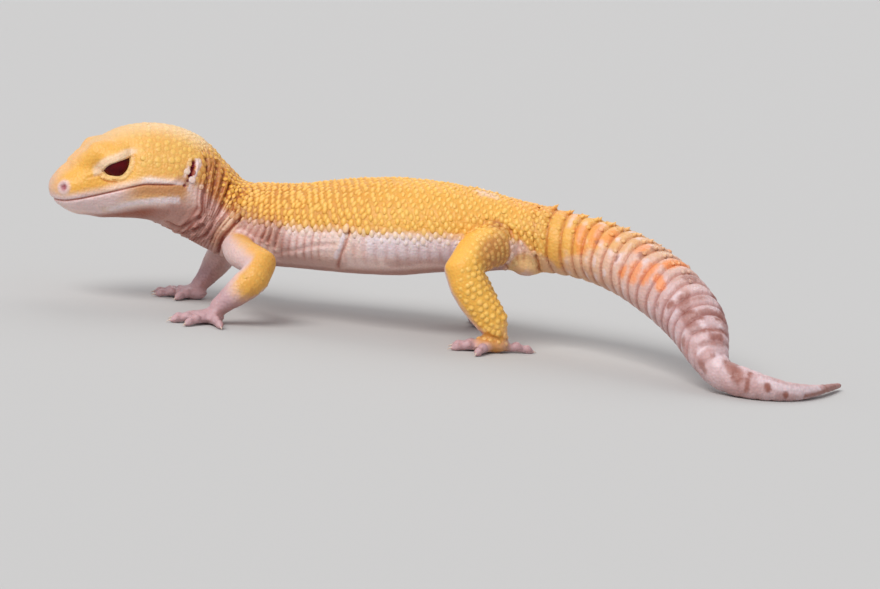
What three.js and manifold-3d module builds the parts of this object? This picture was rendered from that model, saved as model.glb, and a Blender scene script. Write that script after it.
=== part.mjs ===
// Leopard gecko, adult male, standing still with its head raised: a life-size display model.
//
// Millimetres, +Z up. The animal faces -X and its left side faces -Y. It is laid out on its own spine and
// then moved so that the origin is on the floor, under the middle of its box. Lofts along the spine make the
// head, trunk and tail, lofts along bent lines make the limbs, and each toe is a small loft that ends in its
// claw. A narrow gap parts each named piece from the next.
import * as THREE from "three";
import { mergeVertices } from "three/addons/utils/BufferGeometryUtils.js";
import Module from "manifold-3d";

const wasm = await Module();
wasm.setup();

// ---------------------------------------------------------------- driving dimensions, mm
const GAP = 0.3; // between two pieces, and round each eye
const BODY_SIDES = 16; // corners round the body
const LIMB_SIDES = 11;
const TOE_SIDES = 6;
const ROUND_SIDES = 10; // corners round lids, sockets, brows and palms
const OPENING_SIDES = 8; // round ears and nostrils
const EYE_SIDES = 14;
const LIMB_ROWS = 14; // sections along a limb
const TOE_ROWS = 6;
const FAR = 300; // longer than the animal

// Stations along the spine, snout to tail tip: the place of the spine (x, y, z), then half the width, the
// rise above the spine, the drop below it, and how far the section widens downwards.
const STATIONS = [
  [-90.1, -1.7, 23.8, 6.2, 3.7, 5.3, 0.06], // snout
  [-85.6, -0.3, 25.7, 7.2, 4.2, 7.2, 0.14], // nostrils
  [-81.2, 1.0, 27.4, 8.2, 7.0, 9.2, 0.18], // muzzle
  [-75.6, 2.6, 29.0, 9.7, 9.9, 10.3, 0.18], // eyes
  [-69.3, 4.4, 29.6, 11.2, 11.4, 10.7, 0.16], // crown
  [-63.1, 6.1, 28.2, 11.8, 11.8, 10.5, 0.1], // ears and jaw corners
  [-56.8, 7.2, 25.0, 10.2, 10.1, 10.0, 0.04], // nape
  [-50.0, 7.4, 21.6, 8.9, 8.5, 9.6, 0.0], // neck
  [-42.0, 6.4, 20.2, 9.8, 9.2, 9.5, 0.02], // shoulders
  [-33.0, 4.6, 20.7, 11.6, 9.5, 9.7, 0.05], // chest
  [-22.5, 2.2, 21.9, 13.1, 10.6, 10.6, 0.08], // ribs
  [-11.5, 0.0, 23.1, 13.6, 11.1, 11.0, 0.1], // belly
  [-1.0, -2.0, 24.1, 12.2, 10.3, 10.1, 0.08], // loin
  [9.0, -3.8, 24.3, 9.8, 8.9, 8.9, 0.04], // hips
  [18.5, -6.0, 24.3, 8.2, 7.7, 7.4, 0.0], // vent
  [26.5, -8.6, 24.0, 7.5, 7.0, 6.9, 0.0], // tail neck
  [34.5, -12.6, 23.0, 7.8, 7.1, 6.6, 0.0],
  [42.2, -18.8, 20.9, 7.9, 7.3, 6.5, 0.0],
  [49.2, -26.6, 17.4, 7.5, 7.1, 6.3, 0.0], // the tail's thickest third
  [54.8, -34.4, 13.2, 6.6, 6.2, 6.0, 0.0],
  [57.8, -42.0, 8.5, 5.0, 4.6, 5.1, 0.0],
  [61.2, -47.4, 4.5, 3.8, 3.7, 3.8, 0.0], // the tail meets the floor
  [68.0, -50.0, 2.75, 3.0, 2.9, 2.9, 0.0],
  [75.4, -47.6, 1.85, 2.1, 2.0, 2.0, 0.0],
  [82.4, -39.8, 1.2, 1.4, 1.35, 1.35, 0.0],
  [88.2, -28.6, 0.62, 0.75, 0.75, 0.75, 0.0], // tail tip
];
const SNOUT_ROUND = 5; // length of the rounded end at the snout
const TIP_ROUND = 1.2; // and at the tail tip
const LIMB_ROUND = 2; // at each end of a limb
const TOE_ROUND = 0.5;

// Steps between the sections along the spine, from each distance on.
const STEPS = [
  { from: 0.6, step: 0.8 },
  { from: 2.2, step: 1.3 },
  { from: 5, step: 2.2 },
  { from: 35.5, step: 4.3 },
];
const RING_EDGES = [0.25, -0.3]; // sections beside the start and the end of each ring of the tail
const TIP_STEP = 4.4; // between the sections behind the last ring
const TIP_ROWS = [1, 0.4, 0.05]; // the last sections, before the tail tip
const END_INSET = 0.02; // the first and last sections lie this far inside the ends
const SPACING = 0.4; // no two sections are closer than this

// Each piece of the body starts at its distance from the snout, along the spine.
const BODY_PIECES = [
  { name: "head", start: 0 },
  { name: "neck", start: 35 },
  { name: "chest", start: 49 },
  { name: "abdomen", start: 73 },
  { name: "pelvis", start: 98 },
  { name: "tail_base", start: 117.5 },
  { name: "tail_middle", start: 138 },
  { name: "tail_end", start: 160 },
  { name: "tail_tip", start: 181 },
];

// The tail's rings of scales: each swells towards its rear edge and then drops into the next groove.
const TAIL_HALF = 160; // behind all that the vent's swellings and the thighs meet
const RINGS = { start: 117.5, first: 3.5, shrink: 0.99, count: 16, groove: 0.55 };

// Places on the head: distance from the snout, to the side, and up from the spine.
const EYE = {
  radius: 3.5,
  place: [15.2, 5.8, 2.7],
  lids: [5.4, 4.3, 4.6],
  slit: [3.4, 4.0, 1.8],
  slant: 23,
};
const BROW = { place: [12.9, 4.4, 4.8], size: [6.2, 3.4, 3.9] };
const EAR = { place: [31.0, 11.4, 4.4], size: [0.8, 2.0, 2.7], slant: 12 };
const NOSTRIL = { place: [3.0, 5.9, 0.4], size: [0.7, 0.9, 0.6] };
const VENT_SWELLING = { place: [115.0, 3.2, -5.0], size: [3.9, 3.5, 3.6] };

// The lip line in the head's side view: distance behind the snout and height over the floor.
const LIPS = [
  [-3, 22.1],
  [2.2, 22.3],
  [5, 23.0],
  [9.6, 24.5],
  [14.5, 26.2],
  [19.3, 27.8],
  [24, 28.1],
  [28, 26.6],
];
const JAW_REAR = 31; // the jaw's hinge
const JAW_ANGLE_DROP = 4; // the jaw's rear corner, under the end of the lip line

// A toe from its palm to the tip of its claw. Each row: share of the toe's reach, height over the floor, and
// half the thickness against the toe's own.
const TOE_PROFILE = [
  [0, 1.5, 1.1],
  [0.4, 1.5, 1.0],
  [0.66, 1.55, 0.95], // knuckle
  [0.84, 0.95, 0.85], // pad
  [0.94, 0.55, 0.45],
  [1, 0.3, 0.27], // claw
];
const PALM_SINK = 0.15; // how far each palm reaches below the floor before it is cut flat

// ---------------------------------------------------------------- finishes
const BACK = { color: 0xf0ae4c, roughness: 0.55, metalness: 0 };
const PALE = { color: 0xdfc0c2, roughness: 0.5, metalness: 0 };
const TAIL = { color: 0xefa681, roughness: 0.55, metalness: 0 };
const EYEBALL = { color: 0x480609, roughness: 0.08, metalness: 0 };

// ---------------------------------------------------------------- the spine and its sections
const UP = new THREE.Vector3(0, 0, 1);

/** A smooth curve through rows of three numbers. */
function curveThrough(rows) {
  const curve = new THREE.CatmullRomCurve3(
    rows.map((row) => new THREE.Vector3(...row)),
    false,
    "catmullrom",
    0.5,
  );
  curve.arcLengthDivisions = 600;
  return curve;
}

const SPINE = curveThrough(STATIONS.map((row) => row.slice(0, 3)));
const SIZES = curveThrough(STATIONS.map((row) => row.slice(3, 6)));
const PEARS = curveThrough(STATIONS.map((row) => [row[6], 0, 0]));
const LENGTH = SPINE.getLength();

/** A curve's point at a distance along it, with the directions along it, to its left and up. */
function frameAt(curve, distance, upward = UP) {
  const along = curve.getTangentAt(distance / curve.getLength());
  const left = new THREE.Vector3().crossVectors(along, upward).normalize();
  const up = new THREE.Vector3().crossVectors(left, along);
  return { point: curve.getPointAt(distance / curve.getLength()), along, left, up };
}

/** A place beside a frame's point. */
function beside(frame, left, up) {
  return frame.point.clone().addScaledVector(frame.left, left).addScaledVector(frame.up, up);
}

/** How far a section has grown near a rounded end of a curve: 0 at the end, 1 past the rounding. */
function rounding(distance, length) {
  const share = THREE.MathUtils.clamp(1 - distance / length, 0, 1);
  return Math.sqrt(1 - share ** 2);
}

/** Where each ring of the tail starts. */
const RING_STARTS = [RINGS.start];
for (let ring = 0; ring < RINGS.count; ring++)
  RING_STARTS.push(RING_STARTS[ring] + RINGS.first * RINGS.shrink ** ring);

/** How deep the surface lies under the rings' crests, at a distance along the spine. */
function ringDip(distance) {
  const ring = RING_STARTS.findIndex((start, i) => distance > start && distance <= RING_STARTS[i + 1]);
  if (ring < 0) return 0;
  const share = (distance - RING_STARTS[ring]) / (RING_STARTS[ring + 1] - RING_STARTS[ring]);
  const fade = 1 - ring / RINGS.count;
  return RINGS.groove * fade * (1 - share) ** 2;
}

/** A point of the body's surface, swollen by a margin: angle 0 is its left side, a quarter turn its back. */
function bodyPoint(distance, angle, margin = 0) {
  const frame = frameAt(SPINE, distance);
  const t = SPINE.getUtoTmapping(distance / LENGTH);
  const size = SIZES.getPoint(t);
  const pear = PEARS.getPoint(t).x;
  const ends = rounding(distance, SNOUT_ROUND) * rounding(LENGTH - distance, TIP_ROUND);
  const swell = margin - ringDip(distance);
  const width = size.x * ends * (1 - pear * Math.sin(angle)) + swell;
  const height = (Math.sin(angle) > 0 ? size.y : size.z) * ends + swell;
  return beside(frame, width * Math.cos(angle), height * Math.sin(angle));
}

// ---------------------------------------------------------------- solids
/** A geometry, moved by a matrix, as a solid. */
function solid(geometry, matrix = new THREE.Matrix4()) {
  const moved = geometry.clone().applyMatrix4(matrix);
  moved.deleteAttribute("normal");
  moved.deleteAttribute("uv");
  const merged = mergeVertices(moved, 1e-4);
  const vertProperties = merged.getAttribute("position").array;
  return new wasm.Manifold(
    new wasm.Mesh({ numProp: 3, vertProperties, triVerts: new Uint32Array(merged.index.array) }),
  );
}

/** A closed loft: each row of a sphere moves to a section, and the two poles to the middle of the ends. */
function loft(distances, sides, pointAt, middleAt) {
  const rows = distances.length + 1;
  const geometry = new THREE.SphereGeometry(1, sides, rows);
  const position = geometry.getAttribute("position");
  for (let row = 0; row <= rows; row++) {
    const distance = distances[THREE.MathUtils.clamp(row - 1, 0, distances.length - 1)];
    const pole = row === 0 || row === rows;
    for (let column = 0; column <= sides; column++) {
      const angle = (2 * Math.PI * (column % sides)) / sides;
      const point = pole ? middleAt(distance) : pointAt(distance, angle);
      position.setXYZ(row * (sides + 1) + column, point.x, point.y, point.z);
    }
  }
  return solid(geometry);
}

/** An ellipsoid of the given half sizes along, to the left of and up from a frame, turned about its left. */
function ellipsoid(frame, place, halfSizes, slant = 0, sides = ROUND_SIDES) {
  const matrix = new THREE.Matrix4()
    .makeBasis(frame.along, frame.left.clone().negate(), frame.up)
    .setPosition(beside(frame, ...place));
  matrix.multiply(new THREE.Matrix4().makeRotationY(THREE.MathUtils.degToRad(-slant)));
  matrix.scale(new THREE.Vector3(...halfSizes));
  return solid(new THREE.SphereGeometry(1, sides, sides / 2 + 1), matrix);
}

/** An ellipsoid beside the spine, given for the left side: side 1 is left and -1 right. */
function besideSpine({ place: [distance, out, up], size, slant }, side, sides) {
  return ellipsoid(frameAt(SPINE, distance), [side * out, up], size, slant, sides);
}

/** A named mesh of a solid. */
function meshOf(name, made, finish) {
  const { vertProperties, triVerts } = made.getMesh();
  const geometry = new THREE.BufferGeometry();
  geometry.setAttribute("position", new THREE.BufferAttribute(vertProperties, 3));
  geometry.setIndex(new THREE.BufferAttribute(triVerts, 1));
  geometry.computeVertexNormals();
  const mesh = new THREE.Mesh(geometry, new THREE.MeshStandardMaterial(finish));
  mesh.name = name;
  return mesh;
}

const FLOOR = solid(new THREE.BoxGeometry(FAR, FAR, FAR).translate(0, 0, -FAR / 2));

// ---------------------------------------------------------------- head, trunk and tail
/** Distances of the sections between two places: even steps, and two to each ring of the tail. */
function sectionsBetween(from, to) {
  const rows = [];
  STEPS.forEach(({ from: first, step }, i) => {
    const last = i + 1 < STEPS.length ? STEPS[i + 1].from : RINGS.start;
    for (let at = first; at < last - SPACING; at += step) rows.push(at);
  });
  for (let ring = 0; ring < RINGS.count; ring++)
    rows.push(RING_STARTS[ring] + RING_EDGES[0], RING_STARTS[ring + 1] + RING_EDGES[1]);
  for (let at = RING_STARTS.at(-1) + TIP_STEP / 2; at < LENGTH - TIP_STEP / 2; at += TIP_STEP) rows.push(at);
  rows.push(...TIP_ROWS.map((before) => LENGTH - before));
  const inside = rows.filter((at) => at > from + SPACING && at < to - SPACING);
  return [Math.max(from, END_INSET), ...inside, Math.min(to, LENGTH - END_INSET)];
}

/** A stretch of the body between two distances from the snout. */
function bodyStretch(from, to, margin = 0) {
  return loft(
    sectionsBetween(from, to),
    BODY_SIDES,
    (distance, angle) => bodyPoint(distance, angle, margin),
    (distance) => frameAt(SPINE, distance).point,
  );
}

/** The mouth's region: all below the lip line and ahead of the jaw's hinge, lowered by a drop. */
function jawRegion(drop) {
  const outline = new THREE.Shape(LIPS.map(([back, height]) => new THREE.Vector2(back, height - drop)));
  outline.lineTo(JAW_REAR - drop, LIPS.at(-1)[1] - JAW_ANGLE_DROP);
  outline.lineTo(JAW_REAR - drop, 0);
  outline.lineTo(LIPS[0][0], 0);
  const region = new THREE.ExtrudeGeometry(outline, { depth: FAR, bevelEnabled: false });
  region.translate(0, 0, -FAR / 2);
  const snout = frameAt(SPINE, 0).point.setZ(0);
  const back = frameAt(SPINE, LIPS.at(-1)[0]).point.setZ(0).sub(snout).normalize();
  const across = new THREE.Vector3().crossVectors(back, UP);
  return solid(region, new THREE.Matrix4().makeBasis(back, UP, across).setPosition(snout));
}

/** The skull with its lids, brows and openings, the lower jaw and the two eyes. */
function makeHead(end) {
  let whole = bodyStretch(0, end);
  for (const side of [1, -1]) {
    whole = whole.add(besideSpine({ place: EYE.place, size: EYE.lids }, side));
    whole = whole.add(besideSpine(BROW, side));
  }
  const [distance, out, up] = EYE.place;
  const room = EYE.radius + GAP;
  const slitPlace = [distance, out + EYE.radius, up];
  for (const side of [1, -1]) {
    whole = whole.subtract(besideSpine({ place: EYE.place, size: [room, room, room] }, side));
    whole = whole.subtract(besideSpine({ place: slitPlace, size: EYE.slit, slant: EYE.slant }, side));
    whole = whole.subtract(besideSpine(EAR, side, OPENING_SIDES));
    whole = whole.subtract(besideSpine(NOSTRIL, side, OPENING_SIDES));
  }
  const eyeSize = [EYE.radius, EYE.radius, EYE.radius];
  return [
    meshOf("head", whole.subtract(jawRegion(0)), BACK),
    meshOf("lower_jaw", whole.intersect(jawRegion(GAP)), PALE),
    meshOf("eye_left", besideSpine({ place: EYE.place, size: eyeSize }, 1, EYE_SIDES), EYEBALL),
    meshOf("eye_right", besideSpine({ place: EYE.place, size: eyeSize }, -1, EYE_SIDES), EYEBALL),
  ];
}

/** All pieces from the head to the tail tip. */
function makeBody() {
  const pieces = [];
  BODY_PIECES.forEach(({ name, start }, i) => {
    const end = i + 1 < BODY_PIECES.length ? BODY_PIECES[i + 1].start - GAP : LENGTH;
    if (name === "head") {
      pieces.push(...makeHead(end));
      return;
    }
    let made = bodyStretch(start, end);
    if (name === "pelvis") {
      const swellings = besideSpine(VENT_SWELLING, 1).add(besideSpine(VENT_SWELLING, -1));
      const tail = bodyStretch(end, TAIL_HALF, GAP).add(bodyStretch(end + GAP, TAIL_HALF, GAP));
      made = made.add(swellings.subtract(tail));
    }
    pieces.push(meshOf(name, made.subtract(FLOOR), name.startsWith("tail") ? TAIL : BACK));
  });
  return pieces;
}

// ---------------------------------------------------------------- limbs
// Each limb: points of its line from inside the body to the palm, half its thickness at each of them, and
// the two cuts, as places along those points. Toes: the turn of each from straight ahead towards the
// outside, degrees, and its reach from the palm.
const ARM = {
  thick: [3.9, 3.6, 3.4, 3.4, 3.3, 2.1, 1.7],
  palm: [3.2, 2.7, 1.65],
  toe: 1.12,
  cuts: [3.4, 5.1],
};
const LEG = {
  thick: [6.6, 5.6, 4.6, 4.2, 4.0, 3.4, 2.4],
  palm: [3.8, 2.9, 1.85],
  toe: 1.2,
  cuts: [3.3, 5.1],
};
const LIMBS = [
  {
    ...ARM,
    side: 1,
    names: ["upper_arm_left", "forearm_left", "hand_left"],
    line: [
      [-46.5, 3, 16],
      [-46.2, -4.5, 14.9],
      [-43.2, -11.5, 14.3],
      [-39.6, -16, 13.2],
      [-42.8, -18.4, 9.2],
      [-47.6, -19.2, 4.6],
      [-50.2, -19.4, 2.0],
    ],
    toes: [
      [-42, 7.0],
      [2, 8.6],
      [27, 9.6],
      [60, 9.4],
      [114, 8.6],
    ],
  },
  {
    ...ARM,
    side: -1,
    names: ["upper_arm_right", "forearm_right", "hand_right"],
    line: [
      [-46, 9, 17.5],
      [-45.6, 15.5, 16.4],
      [-48, 19.8, 15.2],
      [-50.4, 21.8, 12.8],
      [-52.6, 19.8, 8.9],
      [-55, 16.8, 4.8],
      [-57.4, 14.8, 2.0],
    ],
    toes: [
      [-62, 7.4],
      [-14, 9.2],
      [12, 9.8],
      [46, 9.0],
      [96, 7.6],
    ],
  },
  {
    ...LEG,
    side: 1,
    names: ["thigh_left", "shin_left", "foot_left"],
    line: [
      [13, -2, 23.6],
      [11.6, -9.5, 22.9],
      [8, -15.6, 21.2],
      [4.2, -20.2, 18.2],
      [7.0, -20.8, 12.4],
      [12.2, -20.6, 5.9],
      [12.2, -21.2, 2.2],
    ],
    toes: [
      [-42, 7.6],
      [-4, 9.0],
      [22, 9.8],
      [70, 9.8],
      [196, 10.2],
    ],
  },
  {
    ...LEG,
    side: -1,
    names: ["thigh_right", "shin_right", "foot_right"],
    line: [
      [13, -5, 23.6],
      [11.2, 1.6, 22.9],
      [7.0, 7.8, 21.2],
      [2.8, 12.4, 18.2],
      [5.2, 13.2, 12.4],
      [10.0, 13.2, 5.9],
      [10.8, 13.6, 2.2],
    ],
    toes: [
      [62, 7.4],
      [78, 9.0],
      [94, 9.8],
      [110, 9.2],
      [128, 7.8],
    ],
  },
];

/** A round loft along a curve, whose half thickness follows a second curve of the same parameter. */
function roundLoft(curve, thickness, rows, sides, sideways, endLength) {
  const length = curve.getLength();
  const inset = endLength / 20;
  const distances = [];
  for (let row = 0; row < rows; row++) {
    const share = (1 - Math.cos((Math.PI * row) / (rows - 1))) / 2;
    distances.push(inset + (length - 2 * inset) * (0.5 * share + (0.5 * row) / (rows - 1)));
  }
  return loft(
    distances,
    sides,
    (distance, angle) => {
      const ends = rounding(distance, endLength) * rounding(length - distance, endLength);
      const half = thickness.getPoint(curve.getUtoTmapping(distance / length)).x * ends;
      return beside(frameAt(curve, distance, sideways), half * Math.cos(angle), half * Math.sin(angle));
    },
    (distance) => curve.getPointAt(distance / length),
  );
}

/** A toe with its claw: it rises to a knuckle and comes down to its pad and claw. */
function makeToe([palmX, palmY], heading, reach, half) {
  const aheadX = reach * Math.cos(heading);
  const aheadY = reach * Math.sin(heading);
  const curve = curveThrough(
    TOE_PROFILE.map(([share, height]) => [palmX + aheadX * share, palmY + aheadY * share, height]),
  );
  const thickness = curveThrough(TOE_PROFILE.map(([, , width]) => [width * half, 0, 0]));
  return roundLoft(curve, thickness, TOE_ROWS, TOE_SIDES, UP, TOE_ROUND);
}

/** All that lies ahead of a point, in a direction, less half a gap. */
function beyond(point, direction) {
  const turn = new THREE.Quaternion().setFromUnitVectors(UP, direction);
  const matrix = new THREE.Matrix4().compose(point, turn, new THREE.Vector3(1, 1, 1));
  return solid(new THREE.BoxGeometry(FAR, FAR, FAR).translate(0, 0, (FAR + GAP) / 2), matrix);
}

/** The upper length, the lower length and the foot of one limb. */
function makeLimb({ line, thick, palm, toe, cuts, side, names, toes }) {
  const curve = curveThrough(line);
  const thickness = curveThrough(thick.map((half) => [half, 0, 0]));
  const [bend, ankle] = cuts.map((cut) => cut / (line.length - 1));
  const hinge = new THREE.Vector3().crossVectors(curve.getTangent(bend / 2), curve.getTangent(ankle));
  let whole = roundLoft(curve, thickness, LIMB_ROWS, LIMB_SIDES, hinge, LIMB_ROUND);
  const [palmX, palmY] = line.at(-1);
  const flat = { point: new THREE.Vector3(palmX, palmY, 0), along: new THREE.Vector3(-1, 0, 0), up: UP };
  flat.left = new THREE.Vector3().crossVectors(flat.along, UP);
  whole = whole.add(ellipsoid(flat, [0, palm[2] - PALM_SINK], palm));
  for (const [turn, reach] of toes) {
    const heading = Math.PI + side * THREE.MathUtils.degToRad(turn);
    whole = whole.add(makeToe([palmX, palmY], heading, reach, toe));
  }
  whole = whole.subtract(FLOOR).subtract(bodyStretch(JAW_REAR, TAIL_HALF, GAP));
  const onwards = curve.getPoint(1).sub(curve.getPoint(0)).normalize();
  const upper = whole.intersect(beyond(curve.getPoint(bend), onwards.clone().negate()));
  const rest = whole.intersect(beyond(curve.getPoint(bend), onwards));
  const lower = rest.intersect(beyond(curve.getPoint(ankle), UP));
  const foot = rest.intersect(beyond(curve.getPoint(ankle), UP.clone().negate()));
  return [meshOf(names[0], upper, BACK), meshOf(names[1], lower, BACK), meshOf(names[2], foot, PALE)];
}

// ---------------------------------------------------------------- the whole animal
const group = new THREE.Group();
group.add(...makeBody());
for (const limb of LIMBS) group.add(...makeLimb(limb));

const box = new THREE.Box3().setFromObject(group);
const middle = box.getCenter(new THREE.Vector3());
for (const piece of group.children) piece.geometry.translate(-middle.x, -middle.y, -box.min.z);

export default group;
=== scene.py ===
# %% [markdown]
# # A leopard gecko, life size
#
# The animal is a grown male, standing with its head raised, its fat tail curling down to the floor. A plain
# solid model gives every size and place. This notebook gives it a skin with folds and creases, thousands of
# raised scales, wet eyes, claws and the animal's own colours. All lengths below are in millimetres until a
# mesh is written, because a gecko is easier to think about in millimetres than in metres.

# %% Tools and the solid model
import math

import bmesh
import bpy
import numpy as np
from mathutils import Matrix, Vector, noise
from mathutils.bvhtree import BVHTree
from mathutils.kdtree import KDTree


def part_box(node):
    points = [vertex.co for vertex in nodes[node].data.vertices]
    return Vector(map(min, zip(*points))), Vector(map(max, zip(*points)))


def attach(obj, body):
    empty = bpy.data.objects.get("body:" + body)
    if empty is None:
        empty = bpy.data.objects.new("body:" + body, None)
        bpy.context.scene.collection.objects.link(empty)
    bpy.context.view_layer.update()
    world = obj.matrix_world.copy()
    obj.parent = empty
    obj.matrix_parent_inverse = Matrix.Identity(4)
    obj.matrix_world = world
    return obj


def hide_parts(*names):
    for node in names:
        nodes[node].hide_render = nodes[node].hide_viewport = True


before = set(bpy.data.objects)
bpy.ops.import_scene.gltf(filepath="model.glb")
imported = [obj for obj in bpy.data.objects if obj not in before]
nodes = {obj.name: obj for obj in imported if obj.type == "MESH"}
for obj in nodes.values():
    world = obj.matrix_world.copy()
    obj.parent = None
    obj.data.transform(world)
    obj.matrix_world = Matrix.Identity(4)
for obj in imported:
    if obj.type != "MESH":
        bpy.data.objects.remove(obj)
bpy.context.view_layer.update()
MM = 0.001
dice = np.random.default_rng(7)

# %% [markdown]
# ## The animal's own ruler
#
# Every scale, fold and colour of a lizard is placed by where it lies along the body and how far round it is.
# So the spine comes first: a smooth line from snout to tail tip, with the body's half width and its rise
# above and drop below that line. A place on the body is then two numbers: the distance from the snout, and
# the turn round the spine, 0 on the left side, 90 on the back and -90 under the belly.

# %% The spine
# x, y, z, half width, rise above, drop below, how far the section widens downwards
SPINE_ROWS = [
    (-90.1, -1.7, 23.8, 6.2, 3.7, 5.3, 0.06),  # snout
    (-85.6, -0.3, 25.7, 7.2, 4.2, 7.2, 0.14),
    (-81.2, 1.0, 27.4, 8.2, 7.0, 9.2, 0.18),
    (-75.6, 2.6, 29.0, 9.7, 9.9, 10.3, 0.18),  # eyes
    (-69.3, 4.4, 29.6, 11.2, 11.4, 10.7, 0.16),
    (-63.1, 6.1, 28.2, 11.8, 11.8, 10.5, 0.1),  # ears
    (-56.8, 7.2, 25.0, 10.2, 10.1, 10.0, 0.04),
    (-50.0, 7.4, 21.6, 8.9, 8.5, 9.6, 0.0),  # neck
    (-42.0, 6.4, 20.2, 9.8, 9.2, 9.5, 0.02),
    (-33.0, 4.6, 20.7, 11.6, 9.5, 9.7, 0.05),
    (-22.5, 2.2, 21.9, 13.1, 10.6, 10.6, 0.08),
    (-11.5, 0.0, 23.1, 13.6, 11.1, 11.0, 0.1),  # belly
    (-1.0, -2.0, 24.1, 12.2, 10.3, 10.1, 0.08),
    (9.0, -3.8, 24.3, 9.8, 8.9, 8.9, 0.04),  # hips
    (18.5, -6.0, 24.3, 8.2, 7.7, 7.4, 0.0),
    (26.5, -8.6, 24.0, 7.5, 7.0, 6.9, 0.0),  # tail
    (34.5, -12.6, 23.0, 7.8, 7.1, 6.6, 0.0),
    (42.2, -18.8, 20.9, 7.9, 7.3, 6.5, 0.0),
    (49.2, -26.6, 17.4, 7.5, 7.1, 6.3, 0.0),
    (54.8, -34.4, 13.2, 6.6, 6.2, 6.0, 0.0),
    (57.8, -42.0, 8.5, 5.0, 4.6, 5.1, 0.0),
    (61.2, -47.4, 4.5, 3.8, 3.7, 3.8, 0.0),
    (68.0, -50.0, 2.75, 3.0, 2.9, 2.9, 0.0),
    (75.4, -47.6, 1.85, 2.1, 2.0, 2.0, 0.0),
    (82.4, -39.8, 1.2, 1.4, 1.35, 1.35, 0.0),
    (88.2, -28.6, 0.62, 0.75, 0.75, 0.75, 0.0),  # tail tip
]
EYE_AT, EYE_OUT, EYE_UP = 15.2, 5.8, 2.7  # the left eye, beside the spine


def smooth_line(rows, steps=60):
    """Points close together on a curve that passes through every row."""
    rows = np.array(rows, float)
    ends = np.vstack([2 * rows[0] - rows[1], rows, 2 * rows[-1] - rows[-2]])
    t = np.linspace(0, 1, steps, endpoint=False)[:, None]
    pieces = []
    for a, b, c, d in zip(ends, ends[1:], ends[2:], ends[3:]):
        bend = 2 * a - 5 * b + 4 * c - d
        twist = 3 * b - a - 3 * c + d
        pieces.append(0.5 * (2 * b + (c - a) * t + bend * t**2 + twist * t**3))
    return np.vstack([*pieces, rows[-1:]])


def unit(vectors):
    """The same directions, one long."""
    return vectors / np.linalg.norm(vectors, axis=-1, keepdims=True)


def lengths(points):
    """How far along a line each of its points is."""
    return np.concatenate([[0], np.cumsum(np.linalg.norm(np.diff(points, axis=0), axis=1))])


fine_rows = smooth_line(SPINE_ROWS)
spine = fine_rows[:, :3]
sizes = fine_rows[:, 3:]
spine_at = lengths(spine)
rearward = unit(np.gradient(spine, spine_at, axis=0))
leftward = unit(np.cross(rearward, (0, 0, 1)))
upward = np.cross(leftward, rearward)

eye_row = np.searchsorted(spine_at, EYE_AT)
eye_there = spine[eye_row] + EYE_OUT * leftward[eye_row] + EYE_UP * upward[eye_row]
eye_here = np.mean(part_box("eye_left"), axis=0) / MM
frame_shift = (eye_here - eye_there) * (1, 1, 0)
spine = spine + frame_shift
LENGTH = spine_at[-1]
print(f"the spine is {LENGTH:.1f} mm long, moved by {frame_shift.round(2)} into the solid model's frame")

# %% [markdown]
# ## The camera
#
# The camera stands low on the animal's left side, a little above its back, and leans slightly, so that the
# gecko seems to walk down to the left.

# %% Camera
VIEW_AIM = np.array((0, 0, 8.6)) + frame_shift
VIEW_RISE, VIEW_LEAN, VIEW_DISTANCE = math.radians(8), math.radians(5.5), 620
SENSOR, LENS = 36, 111.6

ahead = Vector((0, math.cos(VIEW_RISE), -math.sin(VIEW_RISE)))
level = Vector((1, 0, 0))
upright = level.cross(ahead)
right = level * math.cos(VIEW_LEAN) + upright * math.sin(VIEW_LEAN)
above = upright * math.cos(VIEW_LEAN) - level * math.sin(VIEW_LEAN)
camera = bpy.data.objects.new("camera", bpy.data.cameras.new("camera"))
camera.data.sensor_width = SENSOR
camera.data.lens = LENS
aimed = Matrix((right, above, -ahead)).transposed().to_4x4()
camera.matrix_world = Matrix.Translation(MM * (Vector(VIEW_AIM) - VIEW_DISTANCE * ahead)) @ aimed
bpy.context.scene.collection.objects.link(camera)
bpy.context.scene.camera = camera
print("camera at", tuple(round(v / MM) for v in camera.location), "mm")

# %% [markdown]
# ## Places on the body
#
# Two helpers lead from the ruler to places and back: one gives the point of the surface at a distance and a
# turn, the other finds distance and turn for many points at once. More helpers measure how far points are
# from places and lines, and make the soft steps and bells that all shapes and colours below are built from.

# %% From the ruler to places, and back
SNOUT_ROUND = 5  # over this distance the section grows from nothing at the snout


def spine_index(at):
    """The nearest row of the spine."""
    return np.clip(np.searchsorted(spine_at, at), 0, len(spine) - 1)


def snout_share(at, limit=1):
    """How much of its full section the rounded snout has at a distance."""
    return np.sqrt(1 - np.clip(1 - at / SNOUT_ROUND, 0, limit) ** 2)


def body_points(at, turn, lift=0.0):
    """Points of the body's surface, raised by lift."""
    at, turn = np.broadcast_arrays(np.array(at, float), np.radians(np.array(turn, float)))
    i = spine_index(at)
    width, above, below, pear = sizes[i].T
    snout_end = snout_share(at)
    out = (width * snout_end * (1 - pear * np.sin(turn)) + lift) * np.cos(turn)
    rise = (np.where(np.sin(turn) > 0, above, below) * snout_end + lift) * np.sin(turn)
    return spine[i] + out[..., None] * leftward[i] + rise[..., None] * upward[i]


def tree_of(points):
    """A tree that quickly finds the nearest of the points."""
    tree = KDTree(len(points))
    for number, point in enumerate(points):
        tree.insert(point, number)
    tree.balance()
    return tree


spine_tree = tree_of(spine)


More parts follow.
